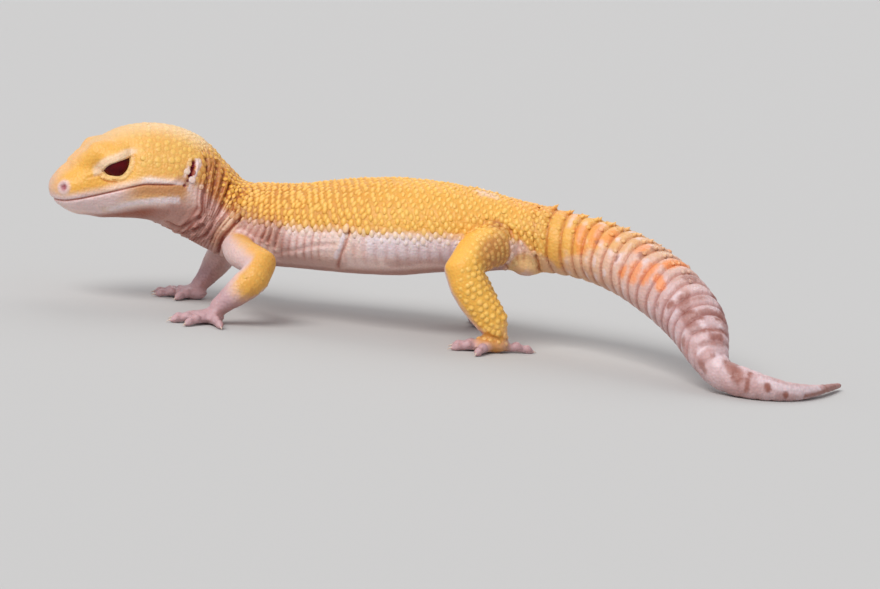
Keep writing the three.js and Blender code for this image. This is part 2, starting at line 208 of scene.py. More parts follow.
def places_on_body(points):
    """For each point: distance along the spine, turn round it, and share of the way out to the surface."""
    i = np.array([spine_tree.find(p)[1] for p in points])
    offset = points - spine[i]
    at = spine_at[i] + (offset * rearward[i]).sum(1)
    out = (offset * leftward[i]).sum(1)
    rise = (offset * upward[i]).sum(1)
    width, above, below, pear = sizes[i].T
    snout_end = snout_share(at, 0.97)
    rise = rise / (np.where(rise > 0, above, below) * snout_end)
    out = out / (width * snout_end)
    out = out / (1 - pear * rise / np.maximum(np.hypot(out, rise), 1e-6))
    return at, np.degrees(np.arctan2(rise, out)), np.hypot(out, rise)


def beside_spine(at, out, up):
    """A place beside the spine."""
    i = spine_index(at)
    return spine[i] + out * leftward[i] + up * upward[i]


print("girth at the belly", round(lengths(body_points(87, np.arange(0, 361, 10)))[-1], 1), "mm")


# %% Gaps, lines and soft steps
def gap_to(points, centres):
    """How far each point is from the nearest of some centres."""
    return np.min([np.linalg.norm(points - centre, axis=1) for centre in centres], axis=0)


def line_gaps(points, line, reach):
    """Indexes of the points that are within reach of a line, and their distances from it."""
    inside = ((points > line.min(0) - reach) & (points < line.max(0) + reach)).all(1)
    near = np.flatnonzero(inside)
    gaps = np.full(len(near), np.inf)
    for a, b in zip(line, line[1:]):
        step = b - a
        share = np.clip(((points[near] - a) @ step) / (step @ step), 0, 1)
        gaps = np.minimum(gaps, np.linalg.norm(points[near] - a - share[:, None] * step, axis=1))
    keep = gaps < reach
    return near[keep], gaps[keep]


def rise_between(low, high, values):
    """0 up to low, 1 from high on, and a smooth rise between."""
    t = np.clip((values - low) / (high - low), 0, 1)
    return t * t * (3 - 2 * t)


def bell(values, middle, width, power=2):
    """1 at the middle, and a smooth fall to 0 on both sides."""
    return np.exp(-(((values - middle) / width) ** power))


def body_lines(places, steps=8):
    """Two smooth lines on the surface through (distance, turn) places: the left one and its mirror."""
    rows = smooth_line(places, steps) if len(places) > 2 else np.linspace(*np.array(places, float), steps)
    return [body_points(rows[:, 0], turns) for turns in (rows[:, 1], 180 - rows[:, 1])]


def read_table(table, at):
    """The value at each distance, between the rows of a table of distances and values."""
    return np.interp(at, *np.array(table).T)


print("a bell falls to", bell(np.arange(4), 0, 1).round(3))

# %% [markdown]
# ## The limbs' lines
#
# Each leg has a line of its own, from inside the body over the elbow or knee to the palm, and each toe is a
# turn and a reach from the palm.

# %% Limbs
ARM_THICK = (3.9, 3.6, 3.4, 3.4, 3.3, 2.1, 1.7)
LEG_THICK = (6.6, 5.6, 4.6, 4.2, 4.0, 3.4, 2.4)
LIMBS = {
    "arm_left": {
        "side": 1,
        "thick": ARM_THICK,
        "line": [(-46.5, 3, 16), (-46.2, -4.5, 14.9), (-43.2, -11.5, 14.3), (-39.6, -16, 13.2)]
        + [(-42.8, -18.4, 9.2), (-47.6, -19.2, 4.6), (-50.2, -19.4, 2.0)],
        "toes": [(-42, 7.0), (2, 8.6), (27, 9.6), (60, 9.4), (114, 8.6)],
    },
    "arm_right": {
        "side": -1,
        "thick": ARM_THICK,
        "line": [(-46, 9, 17.5), (-45.6, 15.5, 16.4), (-48, 19.8, 15.2), (-50.4, 21.8, 12.8)]
        + [(-52.6, 19.8, 8.9), (-55, 16.8, 4.8), (-57.4, 14.8, 2.0)],
        "toes": [(-62, 7.4), (-14, 9.2), (12, 9.8), (46, 9.0), (96, 7.6)],
    },
    "leg_left": {
        "side": 1,
        "thick": LEG_THICK,
        "line": [(13, -2, 23.6), (11.6, -9.5, 22.9), (8, -15.6, 21.2), (4.2, -20.2, 18.2)]
        + [(7.0, -20.8, 12.4), (12.2, -20.6, 5.9), (12.2, -21.2, 2.2)],
        "toes": [(-42, 7.6), (-4, 9.0), (22, 9.8), (70, 9.8), (196, 10.2)],
    },
    "leg_right": {
        "side": -1,
        "thick": LEG_THICK,
        "line": [(13, -5, 23.6), (11.2, 1.6, 22.9), (7.0, 7.8, 21.2), (2.8, 12.4, 18.2)]
        + [(5.2, 13.2, 12.4), (10.0, 13.2, 5.9), (10.8, 13.6, 2.2)],
        "toes": [(62, 7.4), (78, 9.0), (94, 9.8), (110, 9.2), (128, 7.8)],
    },
}
for name, limb in LIMBS.items():
    rows = smooth_line([(*point, half) for point, half in zip(limb["line"], limb["thick"])], 20)
    limb["points"] = rows[:, :3] + frame_shift
    limb["half"] = rows[:, 3]
    limb["at"] = lengths(limb["points"])
    limb["palm"] = limb["points"][-1] * (1, 1, 0)
    limb["headings"] = [math.pi + limb["side"] * math.radians(bend) for bend, _ in limb["toes"]]
    limb["reaches"] = [reach for _, reach in limb["toes"]]
    print(name, "is", round(limb["at"][-1], 1), "mm long")
palms = [limb["palm"] for limb in LIMBS.values()]


def places_on_limbs(points):
    """For each point: the number of the nearest limb, and the share of the way down it."""
    best = np.full(len(points), np.inf)
    which = np.zeros(len(points), int)
    share = np.zeros(len(points))
    for number, limb in enumerate(LIMBS.values()):
        tree = tree_of(limb["points"])
        found = [tree.find(p) for p in points]
        i = np.array([f[1] for f in found])
        out = np.array([f[2] for f in found]) / limb["half"][i]
        nearer = out < best
        best[nearer] = out[nearer]
        which[nearer] = number
        share[nearer] = (limb["at"][i] / limb["at"][-1])[nearer]
    return which, share


# %% [markdown]
# ## One skin over all
#
# The solid model is cut into named pieces, but a living skin has no seams. Copies of the flesh pieces are
# swollen until they just meet, the hollows are plugged, and a voxel remesh melts everything into one closed
# surface of small even faces. Modelling the folds by hand on such a surface would take days, so it is shaped
# by functions of the places above.

# %% Melt the pieces together
VOXEL = 0.5
SWELL = 0.22  # a little over half of the gaps between the solid pieces
# distance, place beside and above the spine, half sizes of the balls that plug eyes, ears and nostrils
PLUGS = [
    (EYE_AT, EYE_OUT, EYE_UP, (4.0, 4.0, 4.0)),
    (31.0, 9.3, 4.4, (2.6, 2.2, 3.6)),
    (3.0, 4.6, 0.4, (1.6, 1.3, 1.5)),
]
EYE_RADIUS = 3.5
EYES = {}
for name, side in (("eye_left", 1), ("eye_right", -1)):
    EYES[name] = {
        "centre": np.mean(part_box(name), axis=0) / MM,
        "out": leftward[eye_row] * side,
        "rear": rearward[eye_row],
        "up": upward[eye_row],
    }


def add_ball(bm, centre, half_sizes, at):
    """Adds an ellipsoid, turned as the spine is at a distance from the snout."""
    i = spine_index(at)
    axes = Matrix((rearward[i], leftward[i], upward[i])).transposed().to_4x4()
    matrix = Matrix.Translation(Vector(centre)) @ axes @ Matrix.Diagonal((*half_sizes, 1))
    bmesh.ops.create_uvsphere(bm, u_segments=24, v_segments=12, radius=1, matrix=matrix)


def to_mesh(bm, name):
    """Writes a bmesh in millimetres as a mesh in metres."""
    mesh = bpy.data.meshes.new(name)
    bmesh.ops.scale(bm, vec=(MM, MM, MM), verts=bm.verts)
    bm.to_mesh(mesh)
    bm.free()
    return mesh


def to_bmesh(mesh):
    """Reads a mesh in metres as a bmesh in millimetres."""
    bm = bmesh.new()
    bm.from_mesh(mesh)
    bmesh.ops.scale(bm, vec=(1 / MM, 1 / MM, 1 / MM), verts=bm.verts)
    return bm


def as_object(name, mesh):
    """A new object in the scene, at the origin."""
    made = bpy.data.objects.new(name, mesh)
    bpy.context.scene.collection.objects.link(made)
    return made


def shade_smooth(bm):
    """Lets the light run smoothly over all faces."""
    for face in bm.faces:
        face.smooth = True


def after_modifier(made, kind, **settings):
    """The mesh of an object as one modifier leaves it."""
    modifier = made.modifiers.new(kind.lower(), kind)
    for name, value in settings.items():
        setattr(modifier, name, value)
    mesh = bpy.data.meshes.new_from_object(made.evaluated_get(bpy.context.evaluated_depsgraph_get()))
    made.modifiers.clear()
    return mesh


bm = bmesh.new()
flesh = sorted(name for name in nodes if not name.startswith("eye"))
for name in flesh:
    bm.from_mesh(nodes[name].data)
bmesh.ops.scale(bm, vec=(1 / MM, 1 / MM, 1 / MM), verts=bm.verts)
bmesh.ops.remove_doubles(bm, verts=bm.verts, dist=0.002)
bm.normal_update()
for v in bm.verts:
    v.co += v.normal * SWELL
for side in (1, -1):
    for at, out, up, half_sizes in PLUGS:
        add_ball(bm, beside_spine(at, side * out, up), half_sizes, at)
skin = as_object("skin", to_mesh(bm, "skin"))
skin.data = after_modifier(skin, "REMESH", mode="VOXEL", voxel_size=VOXEL * MM)
print("melted skin:", len(skin.data.vertices), "points")

# %% [markdown]
# ## The skin's main shape
#
# The solid pieces have flat facets. On the head, trunk and tail each point of the skin moves out or in to the
# true rounded section, sunk by the depth of the scales that will stand on it. Around the eyes and where the
# limbs leave the body the points are only smoothed, which also gives each armpit and groin its soft hollow.

# %% Smooth the skin
# distance, depth
COAT_DEPTH = [(14, 0.0), (26, 0.1), (38, 0.2), (50, 0.1), (116, 0.1), (122, 0.15), (160, 0.1), (185, 0.05)]
FOOT_ROOM = 13  # nearer to a palm than this, the foot keeps its shape
EYE_ROOM = 9  # nearer to an eye than this, the skin is shaped by the lids


def coat_depth(at, turn):
    """How far the skin lies under the scales' tips: most on the back, little under the belly."""
    share_above = 0.25 + 0.75 * rise_between(-0.7, 0.1, np.sin(np.radians(turn)))
    return read_table(COAT_DEPTH, at) * share_above


def coordinates(bm):
    """All points of a bmesh as an array."""
    return np.array([v.co for v in bm.verts])


def normals(bm):
    """The surface's direction at each point of a bmesh."""
    bm.normal_update()
    return np.array([v.normal for v in bm.verts])


def place_points(bm, points):
    """Moves all points of a bmesh, none of them below the floor."""
    points = np.maximum(points, (-np.inf, -np.inf, 0))
    for v, co in zip(bm.verts, points):
        v.co = co


def relax(bm, chosen, times):
    """Smooths the chosen points."""
    verts = [v for v, yes in zip(bm.verts, chosen) if yes]
    for _ in range(times):
        bmesh.ops.smooth_vert(bm, verts=verts, factor=0.5, use_axis_x=True, use_axis_y=True, use_axis_z=True)


def eye_gap(points):
    """How far each point is from the nearer eye's centre."""
    return gap_to(points, [eye["centre"] for eye in EYES.values()])


VENT_SWELLINGS = [beside_spine(115.0, 3.2 * side, -5.0) for side in (1, -1)]

bm = to_bmesh(skin.data)
relax(bm, np.full(len(bm.verts), True), 2)
points = coordinates(bm)
ratio = places_on_body(points)[2]
palm_gap = gap_to(points, palms)
relax(bm, (ratio > 1.05) & (palm_gap > FOOT_ROOM), 8)
points = coordinates(bm)
at, turn, ratio = places_on_body(points)
swelling_gap = gap_to(points, VENT_SWELLINGS)
above_eye = np.full(len(points), -9.0)
for eye in EYES.values():
    offset = points - eye["centre"]
    near = np.linalg.norm(offset, axis=1) < EYE_ROOM
    above_eye[near] = (offset @ eye["up"])[near]
brow = rise_between(-3.0, -1.0, above_eye) * rise_between(EYE_ROOM, 6.5, eye_gap(points))
keep_round = (1 - rise_between(1.05, 1.13, np.where(at < 34, 1, ratio))) * (1 - brow)
keep_round *= rise_between(4.0, 6.0, swelling_gap) * (at > 0.8)
section = body_points(at, turn, -coat_depth(at, turn))
points = points + keep_round[:, None] * (section - points)
place_points(bm, points)
joints = (keep_round < 0.9) & (ratio < 1.6) & (palm_gap > FOOT_ROOM) & (eye_gap(points) > EYE_ROOM)
relax(bm, joints, 10)
relax(bm, eye_gap(coordinates(bm)) < EYE_ROOM, 6)
print("skin box", coordinates(bm).min(0).round(1), coordinates(bm).max(0).round(1))

# %% [markdown]
# ## Where the skin folds
#
# A crease is a line on the body with a depth and a width. The neck is full of them, because the head is
# raised and turned. One long fold runs down in front of each arm, a sharp one crosses the flank, fine ones
# cross the shoulder, and the tail is a row of rings.

# %% Creases and rings
# (distance, turn) places, depth, half width
HEAD_FOLDS = [
    ([(18.6, 27), (18.6, 18), (18.2, 10)], 0.16, 0.3),
    ([(8.5, 12), (10.3, 11), (11.6, 9)], 0.14, 0.35),
]
NECK_FOLDS = [
    ([(32.0, 48), (35.0, 24), (36.8, 3), (38.9, -8), (39.1, -28)], 0.45, 0.5),
    ([(35.0, 60), (37.0, 32), (38.8, 6), (40.1, -9), (40.5, -25), (39.7, -43)], 0.45, 0.5),
    ([(37.6, 59), (38.8, 36), (40.2, 11), (41.3, -9), (40.9, -35), (40.4, -59)], 0.4, 0.45),
    ([(40.5, 51), (41.5, 26), (42.2, 4), (42.2, -32), (40.6, -65)], 0.6, 0.5),
    ([(45.9, 50), (45.7, 22), (44.5, 1), (43.6, -16), (43.4, -40)], 0.35, 0.45),
    ([(49.1, 12), (47.2, -6), (45.8, -26), (45.4, -47), (45.1, -78)], 0.75, 0.5),
    ([(47.6, 30), (46.4, 8), (45.2, -12)], 0.25, 0.4),
    ([(32.6, -56), (35.5, -54), (37.3, -37), (38.5, -20)], 0.5, 0.55),
    ([(34.1, -66), (37.4, -62), (39.2, -45), (40.2, -26)], 0.45, 0.5),
    ([(31.5, -88), (33.5, -78), (34.6, -66)], 0.35, 0.55),
    ([(36.5, -90), (38.2, -74), (39.5, -58)], 0.4, 0.55),
]
FLANK_FOLDS = [
    ([(76.0, 0), (75.1, -15), (73.4, -35), (72.1, -55)], 0.38, 0.5),
    ([(79.9, -2), (79.4, -9), (79.0, -26)], 0.14, 0.7),
    ([(54.9, 10), (55.8, -1), (54.9, -14)], 0.3, 0.35),
    ([(57.4, 10), (57.2, -4), (56.2, -18)], 0.35, 0.35),
    ([(59.8, 7), (58.8, -8), (57.9, -26)], 0.3, 0.4),
    ([(58.2, -36), (60.6, -31), (63.3, -28), (66.7, -21), (69.7, -18), (72.6, -16)], 0.15, 0.6),
    ([(111.6, 16), (112.0, 4), (112.4, -10), (111.6, -26)], 0.22, 0.4),
    ([(113.6, 12), (114.2, 0), (114.4, -14)], 0.2, 0.4),
    ([(104.5, 18), (107.0, 24), (110.0, 22), (112.5, 12)], 0.15, 0.7),
    ([(118.4, -26), (118.9, -45), (118.6, -66)], 0.45, 0.5),
    ([(111.8, -26), (110.9, -42), (110.9, -60)], 0.35, 0.5),
]
EAR_SLIT = [(30.1, 32), (30.3, 26), (30.5, 20), (30.5, 15)]
EAR_PITS = [(30.5, 9.5), (30.4, 3)]
# (distance, turn) places, height, half width
SWELLINGS = [
    ([(7.0, 66), (8.8, 60)], 0.9, 1.2),
    ([(8.8, 60), (11.5, 56)], 0.3, 1.2),
    ([(5.0, 90), (8.0, 90)], 0.6, 2.2),
    ([(101.0, 82), (105.5, 80)], 0.4, 1.8),
]
RING_START, FIRST_RING, RING_SHRINK, RING_COUNT = 117.5, 3.5, 0.99, 33
ring_steps = np.cumsum(RING_SHRINK ** np.arange(-1, RING_COUNT))
ring_edges = RING_START + FIRST_RING * ring_steps - FIRST_RING / RING_SHRINK
ring_girths = np.pi * sizes[spine_index(ring_edges)][:, :2].sum(1)
RING_LEAN = 1.4  # how far a ring's top lies forward, and its underside to the rear
LUMP = 1.75  # from one lump of a ring to the next
ring_lumps = np.round(ring_girths / LUMP)

folds = HEAD_FOLDS + NECK_FOLDS + FLANK_FOLDS
creases = [(line, depth, half_width) for places, depth, half_width in folds for line in body_lines(places)]
ear_slits = body_lines(EAR_SLIT)
ear_pits = [line[0] for pit in EAR_PITS for line in body_lines([pit, pit])]
print(len(creases), "creases and", len(ring_edges), "ring edges, the last at", round(ring_edges[-1], 1), "mm")

# %% [markdown]
# Rows of scales and fine wrinkles don't run straight round the body. On the neck their upper ends lie
# forward, behind the shoulder they lie rearward, and near the hips they stand upright. A row has a number,
# which is its distance on average, and each place of it lies a little before or behind that.

# %% Leaning rows
ROW_TURNS = (-60, -30, -10, 10, 30, 60, 90)
ROW_LEANS = [
    (26, (0, 0, 0, 0, 0, 0, 0)),
    (35, (3.2, 4.1, 3.8, 1.2, -0.7, -4.0, -4.5)),
    (45, (-2.2, -2.2, -1.8, -0.7, 0.0, 0.3, 0.4)),
    (50, (-4.6, -4.2, -3.0, -1.2, 0.4, 2.4, 4.0)),
    (75, (-3.0, -2.6, -2.0, -1.0, 0.0, 1.5, 2.5)),
    (105, (0, 0, 0, 0, 0, 0, 0)),
]
# first and last row, lowest and highest turn, spacing, depth
WRINKLES = [
    (33.5, 47.5, -75, 62, 1.15, 0.34),
    (50, 72, -40, 2, 1.7, 0.22),
    (76, 100, -42, -14, 2.2, 0.13),
    (104, 116, -40, 20, 1.5, 0.22),
]


def on_one_side(turn):
    """The turn as if on the left side: -90 under the belly, 0 at the side, 90 on the back."""
    return 90 - np.abs((turn + 90) % 360 - 180)


def row_shift(row, turn):
    """How far each place of a row lies behind the row's number."""
    starts = [start for start, _ in ROW_LEANS]
    shift = 0.0
    for number, (_, leans) in enumerate(ROW_LEANS):
        share = np.interp(row, starts, np.eye(len(starts))[number])
        shift = shift + share * np.interp(on_one_side(turn), ROW_TURNS, leans)
    return shift


def row_at(at, turn):
    """The number of the row through a place."""
    row = at
    for _ in range(4):
        row = at - row_shift(row, turn)
    return row


print("row 50 runs from", (50 + row_shift(50, np.array((-60, 90)))).round(1), "mm, belly to back")

# %% [markdown]
# The mouth is a line too, but it runs round the front of the snout, so it is a height for each distance
# behind the snout, seen from the side. An eye's opening is an outline on the eyeball.

# %% The mouth
# distance behind the snout, height over the floor
LIPS = [(-3, 22.1), (2.2, 22.3), (5, 23.0), (9.6, 24.4), (14.5, 26.1), (19.3, 27.75)]
LIPS += [(21.9, 28.05), (25.9, 28.3), (30, 28.5)]
lips_line = smooth_line(LIPS, 20)
snout_front = spine[0] * (1, 1, 0)
behind = unit((spine[spine_index(28)] - spine[0]) * (1, 1, 0))


def above_lips(points):
    """How far behind the snout each point is, and how far above the mouth's line."""
    back = (points - snout_front) @ behind
    return back, points[:, 2] - read_table(lips_line, back)


print("the mouth rises", round(np.ptp(lips_line[:, 1]), 1), "mm from the snout to its corner")

# %% The eyes' openings
# rearward and upward places round the eye's middle, on the eyeball
EYE_OPENING = [(-4.8, -1.9), (-3.7, -0.75), (-2.5, 0.15), (-1.5, 0.55), (-0.4, 0.75)]
EYE_OPENING += [(1.3, 1.15), (3.3, 1.55), (3.25, 0.7), (2.6, -0.5), (1.75, -1.6)]
EYE_OPENING += [(0.7, -2.4), (-0.1, -2.6), (-1.3, -2.55), (-3.0, -2.3)]


def seen_from_eye(points, eye):
    """Distance from the eye's centre, and rearward and upward places on the eyeball."""
    offset = points - eye["centre"]
    far = np.linalg.norm(offset, axis=1)
    facing = np.arccos(np.clip(offset @ eye["out"] / far, -1, 1))
    rear, up = offset @ eye["rear"], offset @ eye["up"]
    flat = np.maximum(np.hypot(rear, up), 1e-6)
    return far, EYE_RADIUS * facing * rear / flat, EYE_RADIUS * facing * up / flat


def outline_gap(x, y, outline):
    """How far flat places are outside a closed outline; negative inside it."""
    ring = np.array(outline)
    gap = np.full(len(x), np.inf)
    inside = np.full(len(x), False)
    place = np.stack([x, y], 1)
    for a, b in zip(ring, np.roll(ring, -1, axis=0)):
        step = b - a
        share = np.clip(((place - a) @ step) / (step @ step), 0, 1)
        gap = np.minimum(gap, np.linalg.norm(place - a - share[:, None] * step, axis=1))
        crosses = (a[1] > y) != (b[1] > y)
        inside ^= crosses & (x < a[0] + (y - a[1]) / (b[1] - a[1] + 1e-12) * step[0])
    return np.where(inside, -gap, gap)


def on_upper_lid(x, y):
    """1 above the line from the eye's front corner to its rear corner, 0 below it."""
    return rise_between(-0.3, 0.7, y + 1.9 - 0.43 * (x + 4.8))


LID_OUTSIDE = 4.05  # from the eye's centre to the lids' outer face
smooth_opening = smooth_line([*EYE_OPENING, EYE_OPENING[0]], 6)[:-1]
for eye in EYES.values():
    x, y = np.vstack([smooth_opening, smooth_opening[:1]]).T
    flat = np.hypot(x, y)
    aside = (x[:, None] * eye["rear"] + y[:, None] * eye["up"]) / flat[:, None]
    angle = (flat / EYE_RADIUS)[:, None]
    eye["edge"] = eye["centre"] + LID_OUTSIDE * (np.cos(angle) * eye["out"] + np.sin(angle) * aside)


def lid_gaps(points, eye):
    """How far each point is outside the opening's edge, in true millimetres; 0 inside it, large far away."""
    far, x, y = seen_from_eye(points, eye)
    gap = np.full(len(points), 99.0)
    near, gaps = line_gaps(points, eye["edge"], 5)
    gap[near] = gaps
    inside = (outline_gap(x, y, smooth_opening) < 0) & (far < 5)
    return np.where(inside, 0, gap)


print("the eye opening is", np.ptp(smooth_opening, axis=0).round(1), "mm")

# %% [markdown]
# ## Finer faces where the detail is
#
# Half a millimetre between points is enough for the belly, but not for a lip, a lid or the edge of a ring.
# Faces near such details are divided, and those right at a lid or a lip are divided again.

# %% Divide the faces near details
FOOT_REACH = 12.5  # faces nearer to a palm than this are divided


def detail_gap(points):
    """How far each point is from the nearest fine detail, less the detail's own width."""
    at, turn, ratio = places_on_body(points)
    side_turn = on_one_side(turn)
    back, above = above_lips(points)
    on_body = ratio < 1.12
    gap = np.where((back < 29) & on_body, np.abs(above), np.inf) - 0.3
    for eye in EYES.values():
        far, x, y = seen_from_eye(points, eye)
        opening = np.abs(outline_gap(x, y, smooth_opening))
        gap = np.minimum(gap, np.where(far < 7, opening - 0.9, np.inf))
    rings = np.min([np.abs(at - edge) for edge in ring_edges[:18]], axis=0)
    gap = np.minimum(gap, np.where(on_body, rings - 0.1, np.inf))
    neck = (at > 30) & (at < 49) & (side_turn > -78)
    shoulder = (at > 48) & (at < 70) & (np.abs(side_turn + 18) < 22)
    gap = np.minimum(gap, np.where((neck | shoulder) & on_body, 0, np.inf))
    for line, _, half_width in creases:
        near, gaps = line_gaps(points, line, 3)
        gap[near] = np.minimum(gap[near], gaps - half_width + 0.3)
    for slit in ear_slits:
        near, gaps = line_gaps(points, slit, 3)
        gap[near] = np.minimum(gap[near], gaps - 1.0)
    return np.minimum(gap, np.where(ratio > 1.3, gap_to(points, palms) - FOOT_REACH, np.inf))


def divide(bm, chosen):
    """Divides every edge of the chosen faces once."""
    edges = {edge for face, yes in zip(bm.faces, chosen) if yes for edge in face.edges}
    bmesh.ops.subdivide_edges(bm, edges=list(edges), cuts=1, use_grid_fill=True)


def face_middles(bm):
    """The middle of each face."""
    return np.array([face.calc_center_median() for face in bm.faces])


divide(bm, detail_gap(face_middles(bm)) < 0.35)
print("after one division:", len(bm.faces), "faces")
middles = face_middles(bm)
back, above = above_lips(middles)
ratio = places_on_body(middles)[2]
sharp = (np.abs(above) < 0.45) & (back < 28.5) & (ratio < 1.1)
for eye in EYES.values():
    far, x, y = seen_from_eye(middles, eye)
    sharp |= (far < 6.5) & (np.abs(outline_gap(x, y, smooth_opening)) < 0.45)
divide(bm, sharp)
relax(bm, np.full(len(bm.verts), True), 1)
print("after two divisions:", len(bm.faces), "faces")

# %% [markdown]
# ## Lids and toes
#
# Round each eye the skin becomes two lids that lie close over the eyeball. Inside their opening it dives
# behind the eyeball, so that the separate wet eye shows. The upper lid is a flat band under the brow, the
# lower one a thin roll with a crease below it. The toes are drawn in between their joints.

# %% Shape the lids
LID_INSIDE = 3.1

points = coordinates(bm)
for eye in EYES.values():
    far, x, y = seen_from_eye(points, eye)
    gap = outline_gap(x, y, smooth_opening)
    upper = on_upper_lid(x, y)
    lid = LID_INSIDE + (LID_OUTSIDE - LID_INSIDE) * rise_between(-0.12, 0.25, gap)
    lid += upper * 0.25 * bell(gap, 1.2, 0.6)
    share = 1 - rise_between(0.45 + 0.85 * upper, 1.2 + 1.5 * upper, gap)
    share *= rise_between(6.7, 5.5, far)
    far_new = far + (lid - far) * share
    offset = points - eye["centre"]
    moved = eye["centre"] + offset * (far_new / far)[:, None]
    points = np.where(((far < 8) & (share > 0))[:, None], moved, points)
place_points(bm, points)
soft = np.full(len(points), False)
for eye in EYES.values():
    far = seen_from_eye(points, eye)[0]
    gap = lid_gaps(points, eye)
    soft |= (far < EYE_ROOM) & (gap > 1.0) & (gap < 4.5)
relax(bm, soft, 10)
points = coordinates(bm)
facing = normals(bm)
for eye in EYES.values():
    far, x, y = seen_from_eye(points, eye)
    gap = lid_gaps(points, eye)
    lower = 1 - on_upper_lid(x, y)
    roll = 0.2 * bell(gap, 0.4, 0.25) - 0.22 * bell(gap, 0.95, 0.22)
    points = points + (lower * roll * (far < 7))[:, None] * facing

# %% Slim the toes between their joints
JOINT_STEP = 2.9  # from one joint of a toe to the next

for limb in LIMBS.values():
    offset = points - limb["palm"]
    best = np.full(len(points), np.inf)
    moved = points.copy()
    for heading, reach in zip(limb["headings"], limb["reaches"]):
        way = np.array((math.cos(heading), math.sin(heading), 0))
        along = offset @ way
        beside = (offset - along[:, None] * way) * (1, 1, 0)
        gap = np.linalg.norm(beside, axis=1)
        pull = 0.22 + 0.13 * np.cos((reach - 1.4 - along) * 2 * np.pi / JOINT_STEP + np.pi)
        on_toe = rise_between(2.6, 4.6, along) * rise_between(reach + 0.8, reach - 0.6, along)
        pull *= on_toe * (points[:, 2] < 4)
        nearer = (gap < best) & (along > 2) & (gap < 2.2) & (along < reach + 1.5)
        best[nearer] = gap[nearer]
        slim = points - pull[:, None] * (beside + points * (0, 0, 0.8))
        moved[nearer] = slim[nearer]
    points = moved
place_points(bm, points)
print("lids and toes shaped")

# %% [markdown]
# ## Heights of folds, rings, lips and ears
#
# Everything else is a height: creases, wrinkles, rings, lips, ears, nostrils and swellings are added up, and
# each point moves by the sum along its normal.

# %% Creases and wrinkles
def wobble(points, scale, seed):
    """Soft random hills, between about -1 and 1."""
    shift = Vector((seed * 17.3, seed * 5.1, seed * 9.7))
    return np.array([noise.noise(Vector(p) / scale + shift) for p in points])


def crease_heights(points):
    """All creases: a groove with a low swollen shoulder on both sides."""
    height = np.zeros(len(points))
    for line, depth, half_width in creases:
        near, gaps = line_gaps(points, line, 4 * half_width)
        x = gaps / half_width
        height[near] += depth * (-bell(x, 0, 1) + 0.55 * bell(x, 1.7, 1))
    return height


def wrinkle_depths(points, at, turn):
    """Fine wrinkles along the leaning rows: sharp valleys between rounded ridges."""
    side_turn = on_one_side(turn)
    row = row_at(at, turn) + 0.4 * wobble(points, 5, 7)
    depth = np.zeros(len(points))
    for first, last, low, high, spacing, deep in WRINKLES:
        there = rise_between(first - 2, first + 1, row) * rise_between(last + 2, last - 1, row)
        there *= rise_between(low - 12, low + 8, side_turn) * rise_between(high + 10, high - 8, side_turn)
        depth += there * deep * (1 - np.abs(np.sin(np.pi * row / spacing)) ** 0.8)
    return depth * (0.85 + 0.5 * wobble(points, 2.5, 6))


print("the deepest crease is", max(depth for _, depth, _ in creases), "mm")


# %% Rings of the tail
def ring_places(points, at, turn):
    """Each point's ring, the share of the way to its rear edge, and the gap to the nearer edge."""
    at = at + RING_LEAN * np.sin(np.radians(turn)) + 0.2 * np.sin(np.radians(turn * 2 + at * 25))
    at = at + (0.3 + 0.5 * rise_between(155, 175, at)) * wobble(points, 5, 3)
    ring = np.searchsorted(ring_edges, at) - 1
    inside = (ring >= 0) & (ring < len(ring_edges) - 1)
    ring = np.clip(ring, 0, len(ring_edges) - 2)
    share = (at - ring_edges[ring]) / (ring_edges[ring + 1] - ring_edges[ring])
    gap = np.minimum(at - ring_edges[ring], ring_edges[ring + 1] - at)
    return ring, share, np.where(inside, gap, 9)


def ring_heights(points, at, turn):
    """The tail's rings: soft grooves, rounded backs, and a row of lumps along each rear edge."""
    ring, share, gap = ring_places(points, at, turn)
    fade = 1 - 0.75 * rise_between(8, 24, ring.astype(float))
    inside = rise_between(9, 4, gap)
    back = 0.24 * np.sin(np.pi * np.clip(share, 0, 1) ** 1.3)
    lumps = np.cos(np.radians(turn) * ring_lumps[ring] + 2.4 * ring) * bell(share, 0.7, 0.2)
    upper = rise_between(-30, 30, on_one_side(turn))
    return inside * fade * (back - 0.45 * bell(gap, 0, 0.26) + 0.09 * lumps * upper)


print("lumps on the first rings:", ring_lumps[:4].astype(int))


# %% Lips, ears and swellings
def lip_heights(points, ratio):
    """The mouth: a thin groove between two soft lips."""
    back, above = above_lips(points)
    strength = rise_between(27.4, 25.2, back) * (ratio < 1.2)
    groove = -0.42 * bell(above, 0, 0.2)
    lips = 0.1 * bell(above, 0.8, 0.6) + 0.12 * bell(above, -0.85, 0.6)
    stripe = 0.16 * bell(above, 0.7, 0.45) * rise_between(18, 21, back)
    return strength * (groove + lips + stripe)


def ear_heights(points):
    """The ear: a deep slanting slit with two small pits below it and a swollen rim behind it."""
    height = np.zeros(len(points))
    for slit in ear_slits:
        near, gaps = line_gaps(points, slit, 4)
        height[near] += -1.1 * bell(gaps, 0, 0.4, 4) + 0.22 * bell(gaps, 0.95, 0.35)
    for pit in ear_pits:
        height += -0.6 * bell(np.linalg.norm(points - pit, axis=1), 0, 0.38, 4)
    return height


def swelling_heights(points):
    """The soft swellings of brow, snout and hip."""
    height = np.zeros(len(points))
    for places, tall, half_width in SWELLINGS:
        for line in body_lines(places):
            near, gaps = line_gaps(points, line, 3 * half_width)
            height[near] = np.maximum(height[near], tall * bell(gaps, 0, half_width))
    return height


def nostril_heights(points):
    """The nostrils: a round pit with a low rim."""
    gap = gap_to(points, NOSTRILS)
    return -0.8 * bell(gap, 0, 0.75, 4) + 0.14 * bell(gap, 1.25, 0.4)


